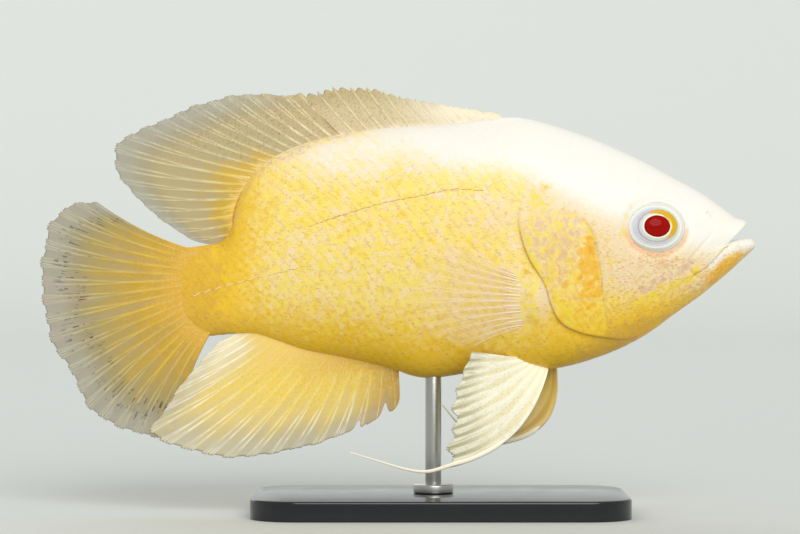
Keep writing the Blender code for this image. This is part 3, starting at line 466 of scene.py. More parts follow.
# Living skin under a film of slime: soft, a little translucent, with a wet and even sheen.
# The mottling is 2 to 7 mm across, its torn edges 1.7 mm and the pits over it 0.55 mm.
def skin_finish(name, scaled):
    made, shader, add, where = new_finish(name)
    (white, gold_and_shade, orange), (lilac, lemon, blush_and_eye_shade), (cream_and_edge_highlight, stipple, crease_shade) = (
        add("SeparateXYZ", add("Attribute", attribute_name=key).node.outputs["Vector"]).node.outputs
        for key in ("marks_a", "marks_b", "marks_c"))
    rim = tone = None
    if scaled:
        rim, tone = (add("Attribute", attribute_name=key).node.outputs["Fac"] for key in ("rim", "tone"))
    plain = add("Math SUBTRACT", 1.0, white)
    broad, middling, torn, fine, grit, pits = (
        add("TexNoise", where, 1 / (period * MM), detail, 0.5, 2.0, warp) for period, detail, warp in (
            (7.0, 2.0, 0.4), (2.6, 3.0, 0.6), (1.7, 6.0, 0.5), (0.8, 2.0, 0), (0.7, 3.0, 0), (0.55, 2.0, 0)))
    slanted = add("Mapping", where, (0, 0, 0), (0, math.radians(-35), 0), (0.38, 1.0, 1.0))
    strokes = add("TexNoise", slanted, 1 / (0.55 * MM), 2.0)

    # Each colour lies over those before it: where its share, stirred by a noise to this depth,
    # rises from the first number to the second, and this much of it at most
    layers = (
        ("#F8DCC0", middling, torn, 0.9, 0.40, 0.70, 0.62), ("#F4D42E", broad, torn, 1.2, 0.48, 0.74, 0.66),
        # F0D9B6 is cream skin, and along the rim of the gill cover a painted highlight.
        ("#F0D9B6", cream_and_edge_highlight, torn, 1.1, 0.1, 0.9, 0.86), ("#FDF1E6", strokes, torn, 0.9, 0.54, 0.8, 0.32),
        ("#F8E0CE", tone, middling, 1.2, 0.6, 1.2, 0.34), ("#F2D030", tone, broad, 1.2, 0.4, -0.2, 0.34),
        ("#FFF8E4", rim, torn, 2.0, 0.3, -0.3, 0.15), ("#F5C528", gold_and_shade, torn, 1.5, 0.05, 1.0, 0.94),
        # Two deeper golds where the gold share passes 1; at the throat they are painted shade.
        ("#D8A838", gold_and_shade, middling, 0.9, 1.0, 1.4, 0.6), ("#C08E24", gold_and_shade, torn, 1.5, 1.4, 2.0, 0.5),
        # C08A48 on the rims of the scales, most on their lower halves, is painted shade.
        ("#DEAE2C", strokes, torn, -0.9, 0.44, 0.26, 0.4), ("#C08A48", rim, strokes, 3.2, 0.92, 1.42, 0.42),
        ("#E8C2A8", plain, grit, 3.0, 1.1, 1.6, 0.26), ("#EBC430", plain, grit, -3.0, 1.2, 1.7, 0.3),
        ("#F5F1E8", white, torn, 0.5, 0.05, 0.75, 0.94), ("#DDBBA4", lilac, torn, 2.6, 0.3, 1.1, 0.78),
        # EFB48C below the eye is painted shade; on the lower jaw it is a rosy patch.
        ("#F6D63A", lemon, middling, 2.2, 0.25, 0.95, 0.8), ("#EFB48C", blush_and_eye_shade, torn, 1.4, 0.15, 1.0, 0.66),
        ("#F3BA32", orange, torn, 2.4, 0.25, 1.0, 0.88), ("#EA9E1E", orange, middling, 3.4, 0.95, 1.5, 0.6),
        ("#F7D478", orange, grit, 3.4, 1.1, 1.8, 0.5), ("#CF9C5E", stipple, strokes, 2.6, 0.45, 1.0, 0.56),
        # DC9440 along the creases is painted shade.
        ("#DC9440", crease_shade, fine, 1.2, 0.3, 0.9, 0.7))
    colour = linear("#FADF70")
    for code, share, by, depth, low, high, most in layers:
        if share is not None:
            there = add("MapRange LINEAR", share, 0.0, 0.12)
            share = faded(add, there, (stirred(add, share, by, depth), low, high))
            colour = add("Mix RGBA", add("Math MULTIPLY", share, most), colour, linear(code))
    bump = add("Bump", 0.6, 0.06 * MM)
    feed(bump.node, {"Height": add("Math ADD", pits, fine)})
    feed(shader, {
        "Base Color": colour, "Roughness": add("MapRange LINEAR", fine, 0.0, 1.0, 0.3, 0.46), "IOR": 1.4,
        "Specular IOR Level": 0.25, "Coat Weight": 0.1, "Coat Roughness": 0.18, "Normal": bump,
        "Subsurface Weight": 0.0 if scaled else 0.08, "Subsurface Radius": (1.0, 0.55, 0.3),
        "Subsurface Scale": 1.5 * MM})
    return made


paint(skin, hide[..., 0].reshape(-1), hide[..., 2].reshape(-1))
bake_map(skin, np.repeat(np.linspace(0.01, 0.99, hide_rows), hide_columns),
         np.tile(np.linspace(0.01, 0.99, hide_columns), hide_rows))
merge_points(skin)
dress(skin, skin_finish("slimed_living_skin", False), "skin", "head", "upper_jaw", "lower_jaw",
      "gill_cover_right", "gill_cover_left", "trunk", "tail_peduncle")


# Scales. Thin plates of bone in pockets of the skin, each with its front end sunk and its
# rounded rear edge lying over the next. Every row runs along the body and is shifted by half
# a scale from the rows beside it. They are laid on the skin in its own rows and columns.
SCALE_STEP, ROW_STEP = 3.3, 2.3           # from scale to scale along a row and across, at the shoulder
COVER_STEP, COVER_ROW_STEP = 2.2, 1.7     # the same on the gill cover
COVER_BED = 0.02
SCALE_THICK = 0.06
SCALE_ROOT, SCALE_LIFT = -0.1, 0.07       # how high its root and its free edge stand on the flank
SCALE_CELLS = 6
SCALE_SHRINKS = ((-75, -50, -10, 20, 60), (0.62, 0.78, 0.95, 1.0, 0.72))   # by place along the body


ground_out = outward(ground)


def on_hide(rows, columns):
    """The place on the skin, and the direction out of it, at these fractional indices."""
    rows, columns = np.clip(rows, 0, hide_rows - 1.001), np.clip(columns, 0, hide_columns - 1.001)
    r, c = rows.astype(int), columns.astype(int)
    fr, fc = (rows - r)[..., None], (columns - c)[..., None]
    mixed = []
    for grid in (ground, ground_out):
        mixed.append((grid[r, c] * (1 - fc) + grid[r, c + 1] * fc) * (1 - fr)
                     + (grid[r + 1, c] * (1 - fc) + grid[r + 1, c + 1] * fc) * fr)
    return mixed


flank_column = {1: int(np.argmin(np.abs(turns))), -1: int(np.argmin(np.abs(turns - math.pi)))}
half_turn = SKIN_TURNS // 2
level = np.linspace(-1, 1, 161)


class Side:
    """Lengths over one side of the body: along the flank, and up and down its girth."""

    def __init__(self, side):
        middle = flank_column[side]
        columns = np.arange(0, half_turn + 1) if side > 0 else np.arange(SKIN_TURNS, half_turn - 1, -1)
        line = ground[:, middle]
        self.run = np.concatenate([[0], np.cumsum(np.linalg.norm(np.diff(line, axis=0), axis=1))])
        steps = np.linalg.norm(np.diff(ground[:, columns], axis=1), axis=2)
        girth = np.concatenate([np.zeros((hide_rows, 1)), np.cumsum(steps, axis=1)], axis=1)
        girth -= girth[:, [int(np.argmin(np.abs(columns - middle)))]]
        self.down, self.up = -girth[:, 0], girth[:, -1]
        wanted = np.where(level > 0, self.up[:, None] * level, self.down[:, None] * level)
        self.table = np.array([np.interp(w, g, columns) for w, g in zip(wanted, girth)])

    def index(self, run, girth):
        """Rows and columns of the skin at these lengths."""
        rows = np.interp(run, self.run, np.arange(hide_rows))
        up, down = np.interp(rows, np.arange(hide_rows), self.up), np.interp(
            rows, np.arange(hide_rows), self.down)
        share = np.where(girth > 0, girth / up, girth / down)
        place = (np.clip(share, -1, 1) + 1) / 2 * (len(level) - 1.001)
        r, m = np.minimum(rows.astype(int), hide_rows - 2), place.astype(int)
        fr, fm = rows - r, place - m
        columns = ((self.table[r, m] * (1 - fm) + self.table[r, m + 1] * fm) * (1 - fr)
                   + (self.table[r + 1, m] * (1 - fm) + self.table[r + 1, m + 1] * fm) * fr)
        return rows, columns, share


disc_u, disc_v = np.meshgrid(*[np.linspace(-1, 1, SCALE_CELLS + 1)] * 2)
scale_a = (disc_u * np.sqrt(1 - disc_v**2 / 2)).reshape(-1)      # from -1 at the root to 1
scale_b = (disc_v * np.sqrt(1 - disc_u**2 / 2)).reshape(-1)
cells = SCALE_CELLS + 1
scale_quads = [(r * cells + c, r * cells + c + 1, (r + 1) * cells + c + 1, (r + 1) * cells + c)
               for r in range(SCALE_CELLS) for c in range(SCALE_CELLS)]
scale_rim = ([c for c in range(cells)] + [r * cells + cells - 1 for r in range(1, cells)]
             + [cells * (cells - 1) + c for c in range(cells - 2, -1, -1)]
             + [r * cells for r in range(cells - 2, 0, -1)])
rim_low = list(range(cells * cells, cells * cells + len(scale_rim)))
scale_faces = [*scale_quads, tuple(rim_low)] + [(b, a, low_a, low_b) for a, b, low_a, low_b in zip(
    scale_rim, scale_rim[1:] + scale_rim[:1], rim_low, rim_low[1:] + rim_low[:1])]


def with_rim(values):
    """The values over the top of a scale, and again for the lower points round its rim."""
    return np.concatenate([values, values[scale_rim]])


def lay_scales(name, side, size_at, step, row_step, bed, seed):
    """Scales over one side as one mesh; size_at(x, z) is their size there, or 0 for none."""
    flank = Side(side)
    draw = np.random.default_rng(seed)
    shrink = np.interp(ground[:, flank_column[side], 0], *SCALE_SHRINKS)
    count_run = np.concatenate([[0], np.cumsum(np.diff(flank.run) / (step * shrink[1:]))])
    scales = []
    for row in range(-30, 31):
        run = np.interp(np.arange(0.5 * (row % 2), count_run[-1], 1.0), count_run, flank.run)
        local = np.interp(run, flank.run, shrink)
        girth = row * row_step * local
        rows, columns, share = flank.index(run, girth)
        centre, _ = on_hide(rows, columns)
        grown = size_at(centre[:, 0], centre[:, 2])
        for i in np.flatnonzero((np.abs(share) < 0.985) & (grown > 0.5)):
            size = local[i] * grown[i] * (1 + 0.05 * draw.standard_normal())
            lean = 0.06 * draw.standard_normal()
            tone = draw.random()
            a = -(scale_a + lean * scale_b) * step * size * 0.92       # the root looks forward
            b = (scale_b - lean * scale_a) * row_step * size * 1.12
            r, c, _ = flank.index(run[i] + a, girth[i] + b)
            place, away = on_hide(r, c)
            stand = (SCALE_ROOT + (SCALE_LIFT * grown[i] - SCALE_ROOT) * (scale_a + 1) / 2 + bed * grown[i]
                     + 0.03 * (1 - scale_a**2 - scale_b**2))
            top = place + away * stand[:, None]
            low = top[scale_rim] - away[scale_rim] * SCALE_THICK
            # Nearness to the rear rim, more on its lower half. The dark colour laid on it in the material is
            # painted shade, as from a light above; where the value is low, the middle of the scale is paler.
            edge = np.hypot(scale_a, scale_b) * ease(-0.5, 0.4, scale_a) * (0.7 + 0.3 * tone - 0.35 * scale_b)
            u = 0.01 + 0.98 * rows[i] / (hide_rows - 1) - 0.0015 * scale_a
            v = 0.01 + 0.98 * columns[i] / (hide_columns - 1) + 0.0015 * scale_b
            scales.append((np.concatenate([top, low]), with_rim(edge), np.full(len(top) + len(low), tone),
                           with_rim(u), with_rim(v)))
    each = len(scales[0][0])
    places, rim_shades, tones, u, v = map(np.concatenate, zip(*scales))
    faces = [f[::-1] for f in scale_faces] if side > 0 else scale_faces
    mesh = bpy.data.meshes.new(name)
    mesh.from_pydata((swayed(places) * MM).tolist(), [],
                     [tuple(p + k * each for p in f) for k in range(len(scales)) for f in faces])
    piece = bpy.data.objects.new(name, mesh)
    bpy.context.scene.collection.objects.link(piece)
    paint(piece, places[:, 0], places[:, 2])
    tag(piece, "rim", rim_shades)
    tag(piece, "tone", tones)
    bake_map(piece, u, v)
    mesh.shade_smooth()
    mesh.set_sharp_from_angle(angle=math.radians(35))
    dress(piece, scaled_skin, "skin")


def on_trunk(x, z):
    """Behind the gill cover and over the nape, clear of the root of the pectoral fin."""
    lobe = np.hypot((x - 28.0) / 4.2, (z - 63.4) / 7.2)
    room = np.minimum(scale_room(x, z), 8 * (lobe - 1)) - 0.2
    return np.clip(room / 3.2, 0, 1) * np.clip((x + 81.5) / 6, 0, 1)


def on_cover(x, z):
    """On the gill cover and the cheek, short of the eye and the jaws."""
    edges = (from_line(GILL_EDGE, x, z, 3)[0] - 1.0, np.abs(from_line(COVER_FRONT, x, z, 3)[0]) - 0.4,
             61 - x, 88 - z, z - 55, x - 23, 8 * (eye_share(x, z) - 1.35))
    return np.clip(np.min(edges, axis=0) / 1.8, 0, 1)


scaled_skin = skin_finish("scaled_living_skin", True)
for name, side in (("right", -1), ("left", 1)):
    lay_scales(f"scales_{name}", side, on_trunk, SCALE_STEP, ROW_STEP, SCALE_BED, 7 + side)
    lay_scales(f"cover_scales_{name}", side, on_cover, COVER_STEP, COVER_ROW_STEP, COVER_BED, 17 + side)


# Lateral line. A row of scales along each flank carries a bony tube with a pore at its end, by
# which the fish feels the water move. The row breaks off below the fin of the back and goes on
# lower down, along the middle of the tail base.
LINE_PARTS = (
    ("upper", 0.62, ((12.7, 96.3), (3.7, 96.7), (-7.1, 94.6), (-18.2, 92.4), (-29.5, 89.0), (-39.4, 85.7))),
    ("lower", 0.3, ((-37.6, 74.8), (-41.8, 73.7), (-54.0, 70.7), (-66.0, 67.6), (-78.0, 63.8))))
TUBE_STEP, TUBE_RADIUS = 3.4, 0.18
BEAD_CELLS = 12


def tube_of(name, line, radius, points, flat=1.0):
    """A round tube along a line, or a flat one, drawn to a point at both ends."""
    forward = np.gradient(line, axis=0)
    forward /= np.linalg.norm(forward, axis=1)[:, None]
    across = np.cross(forward, (0, 1, 0))
    across /= np.linalg.norm(across, axis=1)[:, None]
    away = np.cross(across, forward)
    ring = np.linspace(0, 2 * math.pi, points)[:, None]
    tube = line[:, None] + radius[:, None, None] * (
        np.cos(ring) * across[:, None] + flat * np.sin(ring) * away[:, None])
    tube[0], tube[-1] = line[0], line[-1]
    return sheet_of(name, tube)


# Horn-like bone, yellowed. It is painted paler on the swelling of each tube, a painted highlight, and darker
# in the waist and pore between two, painted shade.
pored, shader, add, where = new_finish("pored_scale_tube")
bead_light_and_shade = add("Attribute", attribute_name="bead_light_and_shade").node.outputs["Fac"]
shade = add("Math MULTIPLY_ADD", add("TexNoise", where, 1 / (1.3 * MM), 3.0), 0.9, bead_light_and_shade)
tint = add("ValToRGB", shade)
for stop, place, code in zip(tint.node.color_ramp.elements, (0.55, 1.0), ("#C89C68", "#F6E0A6")):
    stop.position, stop.color = place, linear(code)
feed(shader, {"Base Color": tint, "Roughness": 0.42})

for name, side in (("right", -1), ("left", 1)):
    for part, waist, points in LINE_PARTS:
        line = smooth_curve(points, np.linspace(0, len(points) - 1, 400))
        length = np.concatenate([[0], np.cumsum(np.linalg.norm(np.diff(line, axis=0), axis=1))])
        beads = int(length[-1] / TUBE_STEP)
        along_line = np.linspace(0, length[-1], beads * BEAD_CELLS + 1)
        x, z = np.interp(along_line, length, line[:, 0]), np.interp(along_line, length, line[:, 1])
        phase = (along_line / length[-1] * beads) % 1.0
        swell = 0.25 + 0.75 * np.sin(math.pi * np.clip(phase * 1.15, 0, 1)) ** 0.6
        middle = np.stack([x, side * (half_width(x, z) + 0.06), z + 0.12 * np.sin(2 * math.pi * phase)], -1)
        piece = tube_of(f"lateral_line_{part}_{name}", middle, TUBE_RADIUS * swell, 11)
        tag(piece, "bead_light_and_shade", np.repeat(swell - waist, 11))
        merge_points(piece, 1e-6)
        dress(piece, pored, "skin")


# Eyes. Each is a ball behind a clear cornea: a round lens stands out of the pupil, and shows
# the red of the blood behind it, as an albino has no dark pigment there. Round it lie a thin
# white ring, the gold and lilac iris, and the cream edge of the socket's own skin.
EYE_STANDS_OUT = 2.2
EYE_TURN, EYE_LEAN = 11.0, 6.0            # degrees that it looks forward and down
PUPIL = 0.45
PUPIL_BACK = 0.1          # how far behind the middle of the ball it sits
EYE_RINGS = ((0.0, "#930804"), (0.36, "#A00E07"), (0.455, "#860603"), (0.468, "#FDF9E4"),
             (0.50, "#F6F2E2"), (0.55, "#E2E0DA"), (0.61, "#D2CFCE"), (0.645, "#A8A2A8"),
             (0.67, "#D6D3D3"), (0.78, "#DCDEDD"), (0.84, "#F0F1EA"), (0.92, "#F4EFDC"))

# A wet cornea over the iris: rings of colour from the pupil out, fine lilac striae along
# them, and gold, lemon and pearl zones with broken edges.
moist_eye, shader, add, where = new_finish("moist_eye_under_cornea")
ring_share = add("Attribute", attribute_name="ring").node.outputs["Fac"]
zones = add("SeparateXYZ", add("Attribute", attribute_name="zones").node.outputs["Vector"]).node.outputs
clouds = add("TexNoise", where, 1 / (0.9 * MM), 4.0, 0.5, 2.0, 0.8)
wandering = add("Math MULTIPLY_ADD", clouds, 0.05, ring_share)
colour = add("ValToRGB", wandering)
rings = colour.node.color_ramp.elements
while len(rings) < len(EYE_RINGS):
    rings.new(0.5)
for stop, (share, code) in zip(rings, EYE_RINGS):
    stop.position = share
for stop, (share, code) in zip(rings, EYE_RINGS):
    stop.color = linear(code)
striae = add("TexNoise", add("CombineXYZ", add("Math MULTIPLY", wandering, 26.0), clouds), 1.0, 2.0)
striated = faded(add, add("MapRange LINEAR", ring_share, 0.5, 0.58, 0.0, 0.55), (striae, 0.5, 0.64))
colour = add("Mix RGBA", striated, colour, linear("#A9A6B4"))
for zone, code, depth in zip(zones, ("#D9AE2C", "#F8DC5E", "#DAD6E2"), (0.9, 0.8, 0.8)):
    share = faded(add, 1.0, (stirred(add, zone, clouds, depth), 0.25, 0.6))
    colour = add("Mix RGBA", share, colour, linear(code))
feed(shader, {"Base Color": colour, "Roughness": 0.35, "Specular IOR Level": 0.0, "Coat Weight": 0.45,
              "Coat Roughness": 0.04, "Coat IOR": 1.25})

for name, side in (("right", -1), ("left", 1)):
    x, z = EYE_CENTRE
    centre = np.array([x, side * (float(half_width(x, z)) + EYE_STANDS_OUT - EYE_RADII[1]), z])
    turn = Euler((math.radians(EYE_LEAN) * side, 0, math.radians(-EYE_TURN) * side)).to_matrix()
    bpy.ops.object.select_all(action="DESELECT")
    bpy.ops.mesh.primitive_uv_sphere_add(segments=120, ring_count=128, radius=1, rotation=(math.pi / 2, 0, 0))
    ball = bpy.context.object
    ball.name = ball.data.name = f"eye_ball_{name}"
    bpy.ops.object.transform_apply(location=True, rotation=True, scale=True)
    at = np.array([v.co for v in ball.data.vertices])
    share = np.where(at[:, 1] * side > 0, np.hypot(at[:, 0] + PUPIL_BACK, at[:, 2] * 1.06), 1.2)
    lens = 0.085 * np.clip(1 - (share / PUPIL) ** 2, 0, 1) - 0.03 * hump(share - PUPIL, 0.02)
    dome = (lens + 0.018 * hump(share - 0.48, 0.02) - 0.03 * hump(share - 0.56, 0.07)
            - 0.012 * hump(share - 0.67, 0.015) + 0.03 * hump(share - 0.86, 0.05))
    placed = (at * (1 + dome)[:, None] * EYE_RADII) @ np.array(turn).T + centre
    ball.data.vertices.foreach_set("co", (swayed(placed) * MM).reshape(-1))
    around = np.degrees(np.arctan2(at[:, 2], at[:, 0] + PUPIL_BACK))
    crescent = 1.5 * hump((around - 30) / 74, 1.0) * hump(share - 0.585, 0.11)
    bright = 0.8 * hump((around - 10) / 40, 1.0) * hump(share - 0.50, 0.03)
    pearl = 0.55 * hump((np.abs(around) - 180) / 60, 1.0) * hump(share - 0.72, 0.08)
    tag(ball, "zones", np.stack([crescent, bright, pearl], -1))
    tag(ball, "ring", share)
    merge_points(ball)
    dress(ball, moist_eye, "eye", f"eye_{name}")


# Fins. A web of skin on bony rays. The first rays of the back and belly fins are stiff spines
# that stand out of the web; the others are jointed and fork twice on their way to the rim.
# Each root is thick and scaly flesh. They are thin sheets here, worked alike on both faces.
DORSAL_SPINES, DORSAL_RAYS, ANAL_SPINES, ANAL_RAYS = 13, 20, 3, 16
CAUDAL_RAYS, PECTORAL_RAYS, PELVIC_RAYS = 19, 13, 7
PECTORAL_SPREAD, PECTORAL_SPREAD_FAR = 4.0, 7.0
SPINY_ROOT = ((21.4, 116.4), (9.0, 115.8), (-4.0, 114.6), (-16.0, 113.8), (-28.4, 112.0))
SPINY_EDGE = ((17.4, 120.0), (3.0, 122.6), (-8.7, 124.4), (-15.0, 126.0), (-19.8, 127.4),
              (-27.6, 128.0), (-36.0, 126.9), (-42.0, 125.9))
SOFT_ROOT = ((-27.9, 112.1), (-43.6, 106.0), (-52.4, 101.6), (-58.4, 96.6), (-61.2, 91.4),
             (-61.8, 86.0), (-60.2, 81.6))
SOFT_EDGE = ((-41.4, 126.0), (-51.0, 126.0), (-61.0, 125.7), (-68.7, 123.9), (-77.1, 121.2),
             (-85.8, 117.6), (-93.3, 114.0), (-98.4, 110.6), (-98.1, 103.0), (-94.0, 97.6),
             (-89.4, 92.4), (-82.5, 86.6), (-74.4, 81.9), (-69.8, 80.6))
ANAL_ROOT = ((-12.6, 45.0), (-19.0, 47.2), (-26.0, 49.0), (-36.3, 50.6), (-44.4, 51.8),
             (-50.4, 53.8), (-57.6, 56.0))
ANAL_EDGE = ((-12.4, 37.4), (-12.2, 33.6), (-14.0, 30.6), (-17.0, 29.4), (-20.0, 27.4),
             (-26.4, 24.0), (-33.0, 21.6), (-42.0, 19.2), (-53.0, 17.6), (-63.3, 17.0),
             (-73.8, 18.6), (-81.0, 20.8), (-86.4, 24.8), (-83.4, 30.2), (-78.0, 38.2),
             (-71.8, 45.4), (-66.0, 51.6))
CAUDAL_ROOT = ((-71.4, 78.4), (-72.4, 72.6), (-72.6, 66.9), (-71.6, 60.4), (-68.4, 54.8))
CAUDAL_EDGE = ((-104.4, 94.2), (-112.2, 93.6), (-116.7, 90.0), (-120.0, 85.5), (-121.5, 77.7),
               (-121.5, 70.5), (-120.4, 63.9), (-118.8, 57.6), (-117.0, 50.4), (-113.2, 44.4),
               (-109.4, 37.8), (-104.4, 29.4), (-97.6, 25.4), (-88.6, 22.8), (-79.6, 22.4))
PECTORAL_ROOT = ((23.2, 71.4), (25.7, 68.0), (26.8, 63.4), (26.3, 59.0), (24.4, 55.9))
PECTORAL_EDGE = ((4.1, 83.8), (-1.8, 80.5), (-5.5, 75.2), (-8.1, 69.7), (-8.7, 64.0),
                 (-6.9, 58.3), (-3.2, 54.0), (2.3, 50.9), (9.1, 49.7))
PELVIC_ROOT = {-1: ((32.2, 43.8), (27.8, 45.0), (23.8, 46.8)),
               1: ((35.0, 44.6), (31.2, 45.0), (27.6, 46.2))}
PELVIC_EDGE = {
    -1: ((1.8, 14.2), (2.0, 19.3), (3.2, 24.1), (4.2, 28.2), (3.5, 32.0), (4.6, 36.5), (6.0, 41.4),
         (7.5, 45.8), (9.3, 48.9)),
    1: ((15.6, 20.0), (12.4, 23.0), (10.6, 26.8), (10.0, 30.9), (11.0, 35.1), (13.2, 38.5), (16.6, 41.1))}
FILAMENT = {-1: ((-3.5, 13.3), (-9.6, 13.8), (-17.9, 16.2), (-27.4, 19.1)),
            1: ((11.6, 21.5), (7.8, 24.1), (4.4, 27.7), (0.7, 32.2))}
RAY_CELLS = 16            # columns of the mesh from one ray to the next


def along(points, shares, fine=600):
    """Points at these shares of the length of the smooth curve through the points."""
    line = smooth_curve(points, np.linspace(0, len(points) - 1, fine))
    run = np.concatenate([[0], np.cumsum(np.linalg.norm(np.diff(line, axis=0), axis=1))])
    wanted = np.asarray(shares, float) * run[-1]
    return np.stack([np.interp(wanted, run, line[:, k]) for k in range(2)], axis=1)


def bowed(root, edge, u, v, bow):
    """Places at u along the root and v of the way to the edge, on rays that bow this much."""
    start, end = along(root, u), along(edge, u)
    run = end - start
    side = np.stack([-run[:, 1], run[:, 0]], -1) * np.array([bow(t) for t in u])[:, None]
    return start + run * v[..., None] + side * (4 * v * (1 - v))[..., None], start


def ray_pattern(off, soft, v, bold, fork):
    """How strongly a ray stands here, from its distance off in ray spaces; forks twice."""
    first = fork * ease(0.25, 0.75, v) * soft
    second = 0.07 * ease(0.55, 1.0, v) * soft
    width = (0.25 - 0.12 * ease(0.2, 0.6, v) - 0.06 * ease(0.5, 0.95, v)) * bold * (0.4 + 0.6 * soft)
    total = 0
    for side in (-1, 1):
        for branch in (-1, 1):
            for turn in (-1, 0, 1):        # the branches of the next rays reach over here
                total = total + 0.25 * hump(off - turn - side * first - branch * second, width)
    peak = 1 - 0.45 * ease(0.4, 0.7, v) * soft - 0.25 * ease(0.65, 0.95, v) * soft
    return np.clip(total / peak, 0, 1)


def fin(name, node, finish, root, edge, bow, spines, rays, rows, place_y, swell, swell_reach, ridge,
        notch=0.0, ragged=0.0, web=0.2, bold=1.0, bare_from=0.0, lobed=0.0, clefts=(), fork=0.15):
    """A fin as one closed sheet, web thick and swell more at the root, with its rays ridge high.
    place_y(x, z, u, v, run) gives how far it stands to the left. The web is notched between
    spines, ragged or lobed at the rim of soft rays, and cleft where clefts say."""
    count = spines + rays
    u = np.linspace(0, 1, (count - 1) * RAY_CELLS + 1)
    v = np.concatenate([[0.0], np.linspace(0.012, 1, rows) ** 0.9])
    nearest = np.round(u * (count - 1))
    off = u * (count - 1) - nearest
    soft = (nearest >= spines).astype(float)
    web_drop = notch * (1 - soft) * (1 - hump(off, 0.10)) * (0.6 + 0.4 * np.cos(2 * math.pi * off))
    fray = ragged * soft * ((1 - lobed) * (1 - ray_pattern(off, soft, 0.97, bold, fork))
                            + lobed * (1 - hump(off, 0.32)) + 0.25 * lobed * np.cos(9 * 2 * math.pi * off))
    for place, depth, width in clefts:
        fray = fray + depth * hump(u - place, width)
    draw = np.random.default_rng(len(name))
    worn = 0.012 * np.interp(u * (count - 1), np.arange(count), draw.standard_normal(count))
    share = v[:, None] * (1 - web_drop - fray + worn * ease(0.3, 1, v)[:, None])
    flat, start = bowed(root, edge, u, share, bow)
    x, z = flat[..., 0], flat[..., 1]
    u_all, v_all = np.broadcast_to(u, x.shape), np.broadcast_to(v[:, None], x.shape)
    middle = np.stack([x, place_y(x, z, u_all, share, np.linalg.norm(flat - start, axis=-1)), z], -1)
    pattern = ray_pattern(off, soft, v_all, bold, fork)
    thick = (web + swell * np.exp(-((v_all / swell_reach) ** 2))
             + ridge * (1 - 0.75 * v_all) * pattern * (1 + 0.5 * (1 - soft))
             * ease(bare_from - 0.25, bare_from + 0.05, v_all))
    thick[-1] = thick[0] = 0
    thick[:, 0] = thick[:, -1] = 0
    faced = np.cross(np.gradient(middle, axis=0), np.gradient(middle, axis=1))
    faced /= np.linalg.norm(faced, axis=2)[..., None] + 1e-9
    faces = []
    for way in (1, -1):
        face = sheet_of(name, middle + way * faced * thick[..., None] / 2)
        for key, values in (("ray", pattern), ("reach", v_all), ("share", u_all)):
            tag(face, key, values.reshape(-1))
        bake_map(face, 0.02 + 0.47 * (u_all.reshape(-1) + (way > 0) * 1.04),
                 0.02 + 0.96 * v_all.reshape(-1))
        faces.append(face)
    faces[0].select_set(True)
    bpy.context.view_layer.objects.active = faces[0]
    bpy.ops.object.join()
    made = bpy.context.object
    made.name = made.data.name = name
    merge_points(made, 1e-6)
    dress(made, finish, "fin_membrane", node)


